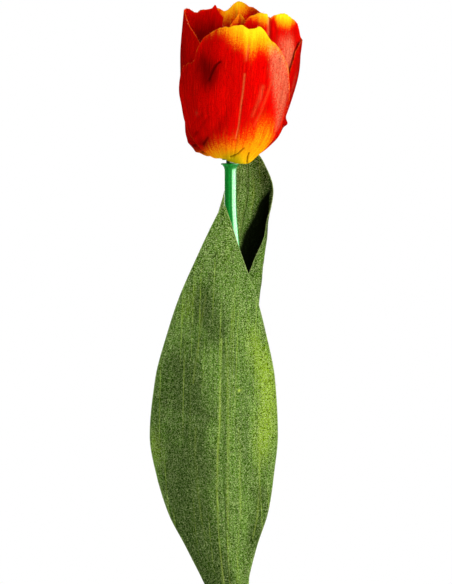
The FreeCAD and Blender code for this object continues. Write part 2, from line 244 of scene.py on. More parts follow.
def mark(tree, name):
    """A mark that the mesh carries."""
    return add(tree, "ShaderNodeAttribute", attribute_name=name).outputs["Fac"]


def speckle(tree, place, scale, detail=2.0, roughness=0.5):
    """Random grain between 0 and 1."""
    inputs = {"Vector": place, "Scale": scale, "Detail": detail, "Roughness": roughness}
    return add(tree, "ShaderNodeTexNoise", inputs).outputs["Fac"]


def cells(tree, place, scale):
    """A random number between 0 and 1 for each small patch."""
    return add(tree, "ShaderNodeTexVoronoi", {"Vector": place, "Scale": scale}).outputs["Color"]


def steps(tree, value, low, high, most=1.0):
    """0 below low, most above high and a soft slope between."""
    inputs = {"Value": value, "From Min": low, "From Max": high, "To Max": most}
    return made(tree, "ShaderNodeMapRange", inputs, interpolation_type="SMOOTHSTEP")


def stretched(tree, place, scale):
    """A place with each of its directions scaled by its own number."""
    return made(tree, "ShaderNodeVectorMath", {0: place, 1: scale}, operation="MULTIPLY")


def new_finish(name, constants, uv_map=None):
    """A material, its tree, its shader with constants set, and the place on the piece or on its cloth."""
    material = bpy.data.materials.new(name)
    material.use_nodes = True
    tree = material.node_tree
    shader = tree.nodes["Principled BSDF"]
    for socket, value in constants.items():
        shader.inputs[socket].default_value = value
    if uv_map:
        return material, tree, shader, made(tree, "ShaderNodeUVMap", uv_map=uv_map)
    return material, tree, shader, add(tree, "ShaderNodeTexCoord").outputs["Object"]


def end_finish(tree, shader, colour, height, distance, dull=None):
    """Gives a shader its colour, its small relief and, where it varies, its roughness."""
    bump = made(tree, "ShaderNodeBump", {"Height": height, "Distance": distance, "Strength": 1.0})
    for socket, value in (("Base Color", colour), ("Normal", bump), ("Roughness", dull)):
        if value is not None:
            tree.links.new(value, shader.inputs[socket])


print("red ink in light:", [round(c, 3) for c in ink("D80603")])

# %% [markdown]
# ## The cup
# All six petals follow one cup, a round bowl that leans a little to the right. Each petal is a strip of
# it: a point is found by its length up the cup's side, its direction round the hub, and its depth under
# the cup's surface. Petals that overlap have different depths, so their cloth never shares the same space.
# The same rule made the sheets of the frame, and it is repeated here so that the finer cloth lies where
# they do.

# %% The cup
CUP_R = 24 * MM
CUP_H = 64 * MM
CUP_LEAN_DEG = 5
FRONT_TUCK = 2.4 * MM
SIDE_BULGE = 1.6 * MM
PETAL_PITCH = 1.2 * MM
INNER_TUCK = 3 * MM
SLOPE_STEPS = 1000
CUP_SHARES = (
    (0.146, 0.005), (0.335, 0.003), (0.515, 0.036), (0.665, 0.087), (0.785, 0.156), (0.870, 0.273),
    (0.941, 0.398), (0.975, 0.515), (1.000, 0.672), (0.992, 0.828), (0.970, 0.969), (0.965, 1.000),
)

peg_low, peg_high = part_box("head_peg")
HEAD_X = (peg_low.x + peg_high.x) / 2
HEAD_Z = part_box("receptacle")[0].z

cup_r, cup_h = np.array(CUP_SHARES).T * [[CUP_R], [CUP_H]]
cup_side = np.concatenate([[0], np.hypot(np.diff(cup_r), np.diff(cup_h)).cumsum()])
RADIUS_UP = np.stack([cup_side, cup_r], 1)
HEIGHT_UP = np.stack([cup_side, cup_h], 1)
SIDE_AT_HEIGHT = np.stack([cup_h[1:], cup_side[1:]], 1)
CUP_SIDE = cup_side[-1]


def leaned(x, y, z):
    """Points of the upright cup, leaned to the right and set on the hub."""
    lean = math.radians(CUP_LEAN_DEG)
    over = x * math.cos(lean) + z * math.sin(lean)
    up = z * math.cos(lean) - x * math.sin(lean)
    return np.stack(np.broadcast_arrays(HEAD_X + over, y, HEAD_Z + up), -1)


def on_cup(length, azimuth_deg, depth):
    """Points in the cup by length up its side, direction in degrees from the front, and depth."""
    step = CUP_SIDE / SLOPE_STEPS
    low = np.maximum(length - step, 0)
    dr = follow(RADIUS_UP, low + step) - follow(RADIUS_UP, low)
    dh = follow(HEIGHT_UP, low + step) - follow(HEIGHT_UP, low)
    slope = np.hypot(dr, dh)
    turn = np.radians(azimuth_deg)
    up_share = length / CUP_SIDE
    tuck = FRONT_TUCK * np.maximum(0, np.cos(turn)) ** 2 * up_share ** 4
    bulge = SIDE_BULGE * np.sin(turn) ** 2 * up_share
    r = follow(RADIUS_UP, length) - depth * dh / slope - tuck + bulge
    h = follow(HEIGHT_UP, length) + depth * dr / slope
    return leaned(r * np.sin(turn), -r * np.cos(turn), h)


print("the cup's side is", round(CUP_SIDE / MM, 1), "mm long, and its hub stands at", round(HEAD_Z / MM, 1))

# %% [markdown]
# ## The petals' shapes and prints
# Cloth petals are cut out, printed, and pressed in a hot mould that gives them their veins and their curl.
# So each petal has a cut outline, a shape and a print. They are written down as short tables: directions
# are in degrees from the front, lengths are millimetres up the cup. Creases are valleys pressed in along a
# line, also painted darker as shade, and bumps are rounded hills. Gold says where the print turns yellow.
# Wine says where the cloth turns dark, partly as dark red print and partly as painted shade in folds and
# where one petal shades another, and pale says where a painted sheen lightens it.
# Full gold is the reach at which the tip's yellow is at its strongest, if it isn't the usual one. The
# layer says how deep a petal lies under the outermost ones, and a petal that tucks leans further in
# towards its top.

# %% The petals' shapes and prints
PETALS = {
    "petal_front": {
        "layer": 0,
        "left": ((0, -30), (5.9, -47), (11.4, -58), (16.8, -65), (22, -70), (32, -77)),
        "right": ((0, 60), (5, 84), (15, 82), (21, 76), (26, 67), (34, 68), (74, 67)),
        "tops": (
            (-77, 24), (-68, 32.5), (-62.7, 35.4), (-55, 36.8), (-46.6, 38.2), (-45.1, 41.6), (-39.4, 47),
            (-34, 49.2), (-28.3, 50.8), (-21.9, 52.1), (-17.7, 52.3), (-11.6, 52.8), (-3.7, 53.6),
            (0.3, 53.7), (5.8, 52.8), (11.2, 52.7), (17.9, 53.8), (21.6, 52.9), (25.7, 50.8), (29.2, 49),
            (37.7, 46.6), (45.8, 42.9), (52.6, 39.2), (58.4, 33.8), (63.3, 29.4), (67, 26),
        ),
        "lips": ((-77, 0.2), (-50, 0.4), (-34, 0.1), (0, 0.1), (20, 0.4), (67, 0)),
        "creases": (
            (((-19, 48.5), (-22.6, 47.3), (-25.4, 45.5), (-28, 43), (-29.6, 41)), 0.6, 0.45),
            (((-8.4, 29.3), (-19.3, 21.9), (-38.2, 16), (-49, 13)), 0.4, 1.8),
            (((-34, 17), (-42, 14.6), (-49, 13)), 0.4, 0.5),
            (((-30, 26), (-47, 19.5), (-61, 17)), 0.3, 0.6),
            (((-38, 27), (-59, 21)), 0.25, 0.6),
            (((-1, 7.8), (6, 8.6), (12.6, 10.2), (18.6, 13.5)), 1.3, 0.32),
            (((50, 4.9), (40, 7), (34, 9), (31.8, 11)), 1.3, 0.32),
            (((6, 8), (5, 24), (6, 40), (8, 62)), 0.2, 0.6),
            (((19.4, 25.5), (23, 33), (27.6, 38), (32, 44)), 0.3, 1.3),
            (((30, 24), (37, 33), (40, 44)), 0.25, 1.2),
            (((-8, 20), (-10, 32), (-12, 44)), 0.2, 1.3),
        ),
        "drop": (32, 42, 1.5),
        "bumps": ((47, 44, 4, 14, 0.5), (-34, 30, 7, 10, 0.5), (15, 36, 5, 14, 0.3), (-72, 16, 7, 8, -0.5),
                  (78, 14, 6, 8, -2.0), (88, 6, 6, 5, -1.0), (-33, 45, 5, 7, -0.5)),
        "tip_gold": (
            (-77, 0.5), (-60, 1.5), (-45, 2.5), (-34, 4), (-22, 6), (-14, 9), (-8, 11.5), (0, 13), (6, 15),
            (12, 16), (20, 14), (26, 12), (34, 9), (45, 7), (58, 6), (67, 4),
        ),
        "foot_gold": ((-77, 8), (-49, 16), (-30, 21), (-16, 23), (3, 26), (19, 30), (34, 36), (50, 36),
                      (62, 26), (74, 14), (84, 6)),
        "wine": (
            (-31, 45, 6.2, 6, 0.7), (-40, 49, 4, 4, 0.25), (-30, 39, 3.5, 4.5, 0.35), (-70, 20, 4, 8, 0.15),
            (-50, 14, 6, 3, 0.45), (-58, 19, 6, 2, 0.3), (-14, 22, 3.4, 5, 0.3), (76, 18, 3, 6, 0.4),
            (-30, 15, 5, 3, 0.2), (42.3, 52, 1.3, 2.6, 0.4),
        ),
        "pale": (
            (43, 47, 3.4, 9, 0.9), (53, 38, 4, 9, 0.9), (59, 27, 3, 7, 0.5), (30, 56, 3, 4, 0.3),
            (37, 50, 3, 5, 0.5), (25, 36, 1.4, 6, 0.35), (-44, 27, 2.4, 2.4, 0.3),
        ),
        "veins": (
            (((4, 18), (5.5, 22), (6.1, 24), (6, 32), (6.6, 38), (6.5, 44.5)), 0.28, 1.0),
            (((20, 28), (23, 32.7), (25.5, 37), (27, 40)), 0.8, 0.25),
            (((29, 31), (33, 38), (36, 43)), 0.6, 0.2),
            (((24, 24), (30, 31)), 0.5, 0.2),
            (((7, 50), (7.8, 56)), 0.4, 0.4),
        ),
    },
    "petal_back": {
        "layer": 0,
        "left": ((0, 150), (12, 136), (24, 133)),
        "right": ((0, 216), (12, 230), (24, 233)),
        "tops": (
            (133, 49), (145, 56.5), (154, 58.6), (163, 60), (166, 60.8), (170.5, 62), (176.8, 62.6),
            (180.3, 63.4), (185, 63.8), (189.8, 62.7), (193.4, 60.8), (199.4, 59.3), (204, 60.4),
            (214, 58), (233, 49.6),
        ),
        "lips": ((133, 0.3), (183, 1.0), (233, 0.3)),
        "creases": (
            (((183, 12), (184, 40), (186, 70)), 0.3, 0.6),
            (((170, 30), (168, 62)), 0.25, 1.4),
            (((200, 24), (204, 60)), 0.3, 1.4),
        ),
        "bumps": ((176, 60, 6, 9, 0.5),),
        "tip_gold": ((133, 1), (150, 2), (163, 3), (171, 5), (178, 8), (184, 12), (190, 11), (200, 8),
                     (208, 5), (220, 3), (233, 2)),
        "foot_gold": ((133, 10), (183, 24), (233, 10)),
        "wine": ((168, 66, 3, 9, 0.45), (160, 60, 6, 12, 0.4), (196, 62, 4, 7, 0.5), (182, 62, 4, 6, 0.45)),
        "pale": ((205, 40, 5, 12, 0.4),),
        "veins": ((((183, 14), (184, 44), (186, 60)), 0.5, 0.7),),
    },
    "petal_left": {
        "layer": 1,
        "left": ((0, -146), (12, -158), (24, -160)),
        "right": ((0, -60), (8, -46), (20, -40)),
        "tops": (
            (-160, 57), (-156, 58.4), (-152, 60.2), (-149.5, 61.6), (-147, 60.2), (-141, 59.4),
            (-133, 59.2), (-127, 57.8), (-118, 58.6), (-108, 59), (-98, 58.4), (-88, 58), (-80, 56.6),
            (-70, 54), (-58, 50.4), (-48, 46.4), (-41, 43), (-40, 42),
        ),
        "lips": ((-160, 0.4), (-120, 0.2), (-92, 0.0), (-80, -0.4), (-60, 0), (-40, 0.2)),
        "creases": (
            (((-100, 14), (-101, 40), (-103, 68)), 0.3, 0.6),
            (((-128, 26), (-132, 60)), 0.4, 1.6),
            (((-80, 20), (-78, 44)), 0.3, 1.6),
            (((-88, 8.2), (-66, 8.6)), 0.5, 0.6),
            (((-92, 12.6), (-72, 12.4)), 0.5, 0.5),
        ),
        "bumps": (
            (-95, 13, 6, 8, 2.2), (-66, 7, 4, 4, 0.4), (-90, 10.5, 5, 0.9, 0.5), (-88, 15, 4, 1, 0.4),
        ),
        "tip_gold": (
            (-160, 1.5), (-149, 2.4), (-140, 1.2), (-128, 0.8), (-112, 1.6), (-98, 3.2), (-88, 2.4),
            (-80, 0.7), (-60, 0.5), (-40, 0.5),
        ),
        "foot_gold": ((-160, 10), (-100, 16), (-60, 10), (-40, 8)),
        "wine": (
            (-125, 56, 14, 12, 0.5), (-150, 60, 8, 8, 0.25), (-84, 40, 9, 20, 0.5), (-150, 50, 5, 14, 0.4),
            (-80, 12, 10, 7, 0.5),
        ),
        "pale": ((-90, 10, 5, 3, 0.2),),
        "veins": ((((-100, 16), (-101, 44), (-103, 58)), 0.5, 0.5),),
    },
    "petal_right": {
        "layer": 1,
        "left": ((0, 76), (12, 66), (24, 62)),
        "right": ((0, 150), (12, 167), (24, 170)),
        "tops": (
            (62, 36), (66, 41), (71, 45.6), (80, 49), (90, 50), (105, 51.6), (120, 54), (135, 54.5),
            (150, 53), (162, 48), (170, 43),
        ),
        "lips": ((62, -0.6), (71, -0.6), (80, -0.3), (92, 0.3), (170, 0.4)),
        "creases": (
            (((114, 14), (115, 40), (117, 66)), 0.3, 0.6),
            (((92, 28), (90, 54)), 0.35, 1.5),
            (((140, 26), (142, 56)), 0.35, 1.6),
        ),
        "bumps": ((88, 26.3, 3, 1.5, 1.5), (84, 22, 4, 3, 0.5), (86, 14, 7, 6, -1.6), (88, 46, 8, 9, 0.9)),
        "tip_gold": ((62, 0.6), (90, 0.6), (110, 4), (125, 6), (150, 3), (170, 1)),
        "foot_gold": ((62, 8), (115, 20), (170, 10)),
        "wine": ((86, 52, 8, 16, 0.5), (80, 34, 6, 12, 0.4), (140, 46, 8, 16, 0.3), (84, 20, 6, 7, 0.45)),
        "pale": ((74, 42, 2, 9, 0.4), (110, 40, 6, 14, 0.3)),
        "veins": ((((114, 16), (115, 44), (117, 56)), 0.5, 0.6),),
    },
    "petal_inner_right": {
        "layer": 2,
        "left": ((0, 18), (12, 4), (24, 0)),
        "right": ((0, 70), (12, 84), (24, 88)),
        "tops": (
            (0, 52.5), (5, 56.8), (12, 58.4), (20, 59.4), (27, 59.3), (30.5, 57.8), (33, 58.2), (40, 59.6),
            (46, 60.2), (52, 60), (58, 59.4), (64, 58.6), (69, 57.8), (74, 57), (80, 55.4), (88, 51.5),
        ),
        "lips": ((0, 0.2), (26, 0.7), (32, -0.2), (50, 0.3), (62, 0.2), (72, 0.3), (80, 0.5), (88, 0.5)),
        "creases": (
            (((31.5, 40), (31.5, 70)), 0.5, 1.0),
            (((16, 30), (15, 66)), 0.3, 1.2),
            (((60, 30), (62, 62)), 0.3, 1.5),
        ),
        "bumps": ((25, 62, 2.6, 12, 0.7), (48, 58, 5, 12, 0.5)),
        "tip_gold": (
            (0, 2), (8, 3), (14, 4.5), (20, 6.5), (27, 7), (30, 5), (32, 3), (36, 3), (40, 6),
            (44, 8), (52, 8), (60, 6.5), (66, 4), (74, 2), (88, 0.8),
        ),
        "full_gold": 7.5,
        "foot_gold": ((0, 8), (44, 18), (88, 8)),
        "wine": ((33, 62, 1.4, 9, 0.25), (8, 58, 4, 8, 0.4), (24, 52, 4, 5, 0.3)),
        "pale": ((55, 56, 6, 7, 0.8), (66, 50, 4, 8, 0.6)),
        "veins": ((((29.5, 67), (30.2, 62), (29.4, 57)), 0.7, 1.0),),
    },
    "petal_inner_front": {
        "layer": 3,
        "tucks": 1,
        "left": ((0, -26), (12, -36), (24, -38)),
        "right": ((0, 12), (12, 20), (24, 22)),
        "tops": (
            (-38, 40), (-28, 45), (-20, 50), (-14, 54.6), (-9, 57.2), (-5, 58.8), (-2, 58.2), (3, 56.6),
            (7, 54.6), (12, 51), (22, 43),
        ),
        "lips": ((-38, 0.2), (-5, 0.8), (22, 0.2)),
        "creases": ((((-7, 16), (-6, 44), (-5, 70)), 0.3, 0.6),),
        "bumps": (),
        "tip_gold": ((-38, 2), (-16, 5), (-5, 8), (6, 5), (22, 2)),
        "foot_gold": ((-38, 8), (-7, 18), (22, 8)),
        "wine": ((4, 56, 3, 8, 0.3),),
        "pale": (),
        "veins": ((((-7, 18), (-6, 44), (-5, 62)), 0.4, 0.5),),
    },
}
print(len(PETALS), "petals are described")

# %% [markdown]
# ## Weaving the petals
# Each petal's grid is made from its tables. The columns end at the cut top edge, which gets small nicks.
# Then the flat cloth is raised and lowered along its own normals: broad ripples that run lengthwise, a
# wavier stretch near the free edges, a curl at the lip, and the creases and bumps of the tables. Shaping
# by hand with sculpt brushes would look alike, but it can't be rerun or resized, and tables can.

# %% Weaving the petals
AROUND_R = 22 * MM
NICKS = ((0.21, 1.6), (0.14, 0.7))
RIPPLES = ((0.20, 6, 30), (0.09, 2.4, 16))
EDGE_WAVE = 0.45
SIDE_WAVE_LEN = 8
SIDE_WAVE_REACH = 2.5
TOP_WAVE_LEN = 6
TOP_WAVE_REACH = 4
LIP_REACH = 4
FIRM_FOOT = 6
DROP_UP = 4.5
DROP_TALL = 3.5
FULL_GOLD = 14
FOOT_GOLD_MOST = 0.95
MOSS_AT = 2
MOSS_WIDE = 9
MOSS_REACH = 6
MOSS_MORE = 10
CUT_WIDE = 0.7
CREASE_SHADE = 0.5
PETAL_SEED = 100
SEEDS_APART = 10


def hills(around, along, places):
    """Rounded hills at (degrees, mm up, mm across, mm along, height)."""
    total = 0
    for azimuth, up, wide, tall, height in places:
        far = ((around - around_mm(azimuth)) / wide) ** 2 + ((along - up) / tall) ** 2
        total = total + height * np.exp(-far)
    return total


def around_mm(azimuth_deg):
    """Millimetres round the cup for a direction in degrees."""
    return np.radians(azimuth_deg) * AROUND_R / MM


def line_mm(line):
    """A line of (degrees, mm up) points in millimetres both ways."""
    return [(around_mm(azimuth), up) for azimuth, up in line]


def petal_layout(spec, seed):
    """Columns and rows of a petal: direction, length up the cup and distance under the top edge, in mm."""
    first, last = spec["left"][-1][1], spec["right"][-1][1]
    columns = round(math.radians(last - first) * CUP_R / PETAL_CELL)
    rows = round(CUP_SIDE / PETAL_CELL)
    u = np.linspace(0, 1, columns + 1)[:, None]
    v = np.linspace(0, 1, rows + 1)[None, :]
    azimuth = first + (last - first) * u
    top = follow(SIDE_AT_HEIGHT, follow(spec["tops"], azimuth) * MM) / MM
    around = around_mm(azimuth)
    for k, (height, wide) in enumerate(NICKS):
        top = top + height * cloud(around / wide, k, seed)
    along = v * top
    azimuth = follow(spec["left"], along) * (1 - u) + follow(spec["right"], along) * u
    return u, azimuth, along, top - along


def from_sides(u, around):
    """Distance to the nearer side edge, in mm."""
    return np.minimum(u, 1 - u) * np.abs(around[-1] - around[0])


def petal_relief(spec, u, azimuth, along, under, seed):
    """How far the cloth is raised off the cup, in mm."""
    around = around_mm(azimuth)
    raised = follow(spec["lips"], azimuth) * np.exp(-((under / LIP_REACH) ** 2))
    for k, (height, wide, tall) in enumerate(RIPPLES):
        raised = raised + height * cloud(around / wide, along / tall, seed + 1 + k)
    at_side = EDGE_WAVE * np.exp(-from_sides(u, around) / SIDE_WAVE_REACH)
    at_top = EDGE_WAVE * np.exp(-under / TOP_WAVE_REACH)
    raised = raised + at_side * cloud(along / SIDE_WAVE_LEN, 0, seed + 3)
    raised = raised + at_top * cloud(around / TOP_WAVE_LEN, 1, seed + 4)
    for line, depth, width in spec["creases"]:
        raised = raised - depth * near_line(around, along, line_mm(line), width)
    return (raised + hills(around, along, spec["bumps"])) * np.clip(along / FIRM_FOOT, 0, 1)


def petal_marks(spec, u, azimuth, along, under):
    """The marks at each point: how yellow, green, veined and freshly cut the print is, how dark from dark
    red print and painted shade, and how pale from a painted sheen.
    """
    around = around_mm(azimuth)
    reach = follow(spec["tip_gold"], azimuth)
    tip = np.clip(reach / spec.get("full_gold", FULL_GOLD), 0, 1) * (1 - under / reach)
    foot = FOOT_GOLD_MOST * (1 - along / follow(spec["foot_gold"], azimuth))
    wine, veins = hills(around, along, spec["wine"]), 0
    # A crease's valley is painted darker too, as shade, by adding it to the wine mark.
    for line, depth, width in spec["creases"]:
        inside = near_line(around, along, line_mm(line), width)
        wine = wine + min(CREASE_SHADE * depth / math.sqrt(width), 1) * inside
    for line, width, strength in spec["veins"]:
        veins = np.maximum(veins, strength * near_line(around, along, line_mm(line), width))
    moss_top = MOSS_REACH + MOSS_MORE * np.exp(-(((around - MOSS_AT) / MOSS_WIDE) ** 2))
    # wine holds dark red print and painted shade, and pale holds a painted sheen.
    return {
        "gold": np.maximum(tip, foot), "wine": wine, "pale": hills(around, along, spec["pale"]),
        "moss": 1 - along / moss_top, "vein": veins,
        "cut": 1 - np.minimum(under, from_sides(u, around)) / CUT_WIDE,
    }


def weave_petal(name, spec, seed):
    """One petal's mesh, and its outer and inner grid."""
    u, azimuth, along, under = petal_layout(spec, seed)
    depth = spec["layer"] * PETAL_PITCH + spec.get("tucks", 0) * INNER_TUCK * (along / along.max()) ** 3
    cup = on_cup(along * MM, azimuth, depth)
    raised = petal_relief(spec, u, azimuth, along, under, seed) * MM
    outer = cup + outward(cup) * raised[..., None]
    middle, spread, drop = spec.get("drop", (0, 1, 0))
    far = ((azimuth - middle) / spread) ** 2 + ((along - DROP_UP) / DROP_TALL) ** 2
    outer[..., 2] -= drop * MM * np.exp(-far)
    inner = outer - outward(outer) * CLOTH_THICK
    mesh = closed_mesh(name, outer, inner)
    put_uv(mesh, np.stack([around_mm(azimuth), along], -1) * MM / UV_UNIT)
    put_marks(mesh, along.shape, petal_marks(spec, u, azimuth, along, under))
    return mesh, outer, inner


petals = {}
cut_edges = {"flower_head": [], "leaf_front": [], "leaf_back": []}
for number, (name, spec) in enumerate(PETALS.items()):
    mesh, outer, inner = weave_petal(name, spec, PETAL_SEED + SEEDS_APART * number)
    petals[name] = place_piece(name + "_cloth", mesh, "flower_head", "petal_cloth", name)
    cut_edges["flower_head"].append((outer + inner) / 2)

# %% [markdown]
# ## Petal finish
# The print on a cloth petal was sprayed and dragged from the edges inwards, so its colours run into each
# other in fine lengthwise streaks. A painted picture could show that, but it would be fixed in size. Here
# the marks say roughly where a colour goes, and stretched noise in the cloth's own UV map breaks up the
# border. Two marks paint light into the colour: pale paints a grainy pink sheen, and wine paints shade in
# folds and creases on top of the dark red print. The weave is only relief, thin threads both ways, and a
# soft sheen gives the fuzz of brushed cloth.

# %% Petal finish
THREAD_PITCH = 0.36 * MM
THREAD_RELIEF = 0.03 * MM
GOLD_RAMP = (
    (0.0, "E00200"), (0.18, "E60C02"), (0.32, "EC4804"), (0.46, "F28008"), (0.68, "F4AE0A"),
    (0.9, "FAD618"),
)


def weave(tree, place):
    """Relief of plain weave: threads across and along, each over and under the other."""
    threads = stretched(tree, place, [math.pi * UV_UNIT / THREAD_PITCH] * 3)
    across, along, _ = add(tree, "ShaderNodeSeparateXYZ", {"Vector": threads}).outputs
    over = times(tree, maths(tree, "SINE", across), maths(tree, "SINE", along))
    return maths(tree, "MULTIPLY_ADD", over, 0.5, 0.5)


def petal_finish():
    material, tree, shader, place = new_finish("petal_print", {
        "Roughness": 0.6, "Specular IOR Level": 0.0, "Sheen Weight": 0.018, "Sheen Roughness": 0.45,
        "Sheen Tint": ink("FFA080"),
    }, uv_map="cloth")
    fine = speckle(tree, stretched(tree, place, (300, 12, 1)), 1.0, 4.0, 0.65)
    broad = speckle(tree, stretched(tree, place, (75, 7, 1)), 1.0, 2.0)
    grain = cells(tree, place, 400)
    patches = speckle(tree, stretched(tree, place, (9, 4, 1)), 1.0, 3.0)
    drag = mark(tree, "gold")
    for noise, amount in ((fine, 0.5), (broad, 0.45), (grain, 0.3)):
        drag = stirred(tree, drag, noise, amount)
    ramp = add(tree, "ShaderNodeValToRGB", {"Fac": drag})
    while len(ramp.color_ramp.elements) < len(GOLD_RAMP):
        ramp.color_ramp.elements.new(0.5)
    for stop, (at, code) in zip(ramp.color_ramp.elements, GOLD_RAMP):
        stop.position, stop.color = at, ink(code)
    vein = times(tree, mark(tree, "vein"), steps(tree, fine, 0.25, 0.55), 0.8)
    # Painted sheen: grainy pale pink patches where the cloth catches the lamp.
    painted_sheen = times(tree, mark(tree, "pale"), maths(tree, "MULTIPLY_ADD", grain, 1.9, 0.05))
    painted_sheen = stirred(tree, painted_sheen, fine, 0.9)
    colour = inked(tree, ramp.outputs["Color"], (
        (steps(tree, mark(tree, "moss"), 0.1, 0.7, 0.85), "949606"), (vein, "F78A48"),
        (steps(tree, painted_sheen, 0.2, 1.0, 0.85), "F59068"),
    ))
    red = steps(tree, drag, 0.5, 0.15)
    colour = inked(tree, colour, [(times(tree, steps(tree, *limits), red), code) for limits, code in (
        ((broad, 0.35, 0.68, 0.4), "A80302"), ((fine, 0.44, 0.66, 0.5), "940101"),
        ((fine, 0.46, 0.3, 0.2), "FF3A16"), ((grain, 0.6, 0.95, 0.65), "700101"),
        ((patches, 0.4, 0.7, 0.3), "980502"),
    )])
    # Dark red print and painted shade: folds, creases and the cloth where one petal shades another.
    dark = stirred(tree, mark(tree, "wine"), fine, 0.5)
    cut = times(tree, steps(tree, mark(tree, "cut"), 0.35, 1.0, 0.35), steps(tree, grain, 0.35, 0.6))
    colour = inked(tree, colour, ((steps(tree, dark, 0.0, 0.95, 0.9), "560101"), (cut, "F07A22")))
    relief = weave(tree, place)
    for noise, height in ((fine, 2.0), (broad, 3.0)):
        relief = maths(tree, "MULTIPLY_ADD", noise, height, relief)
    end_finish(tree, shader, colour, relief, THREAD_RELIEF)
    return material


petal_print = petal_finish()
for piece in petals.values():
    piece.data.materials.append(petal_print)
print("the petals are printed with", len(petal_print.node_tree.nodes), "nodes")

# %% [markdown]
# ## The leaves' shapes and prints
# A leaf is one long blade of woven cloth with a wire rib glued behind it. Its foot wraps round the sleeve
# on the stem, and further up it opens, bows to one side and leans away. The tables give its half width,
# bow, reach and turn as shares of its largest, at shares of the way up. Across the leaf, the cloth follows
# an arc whose turn changes along the blade, which is how flat cloth bends without stretching. Near the top
# of the back leaf a strip of the margin folds over, so the fold tables say where it starts and how far it
# turns.

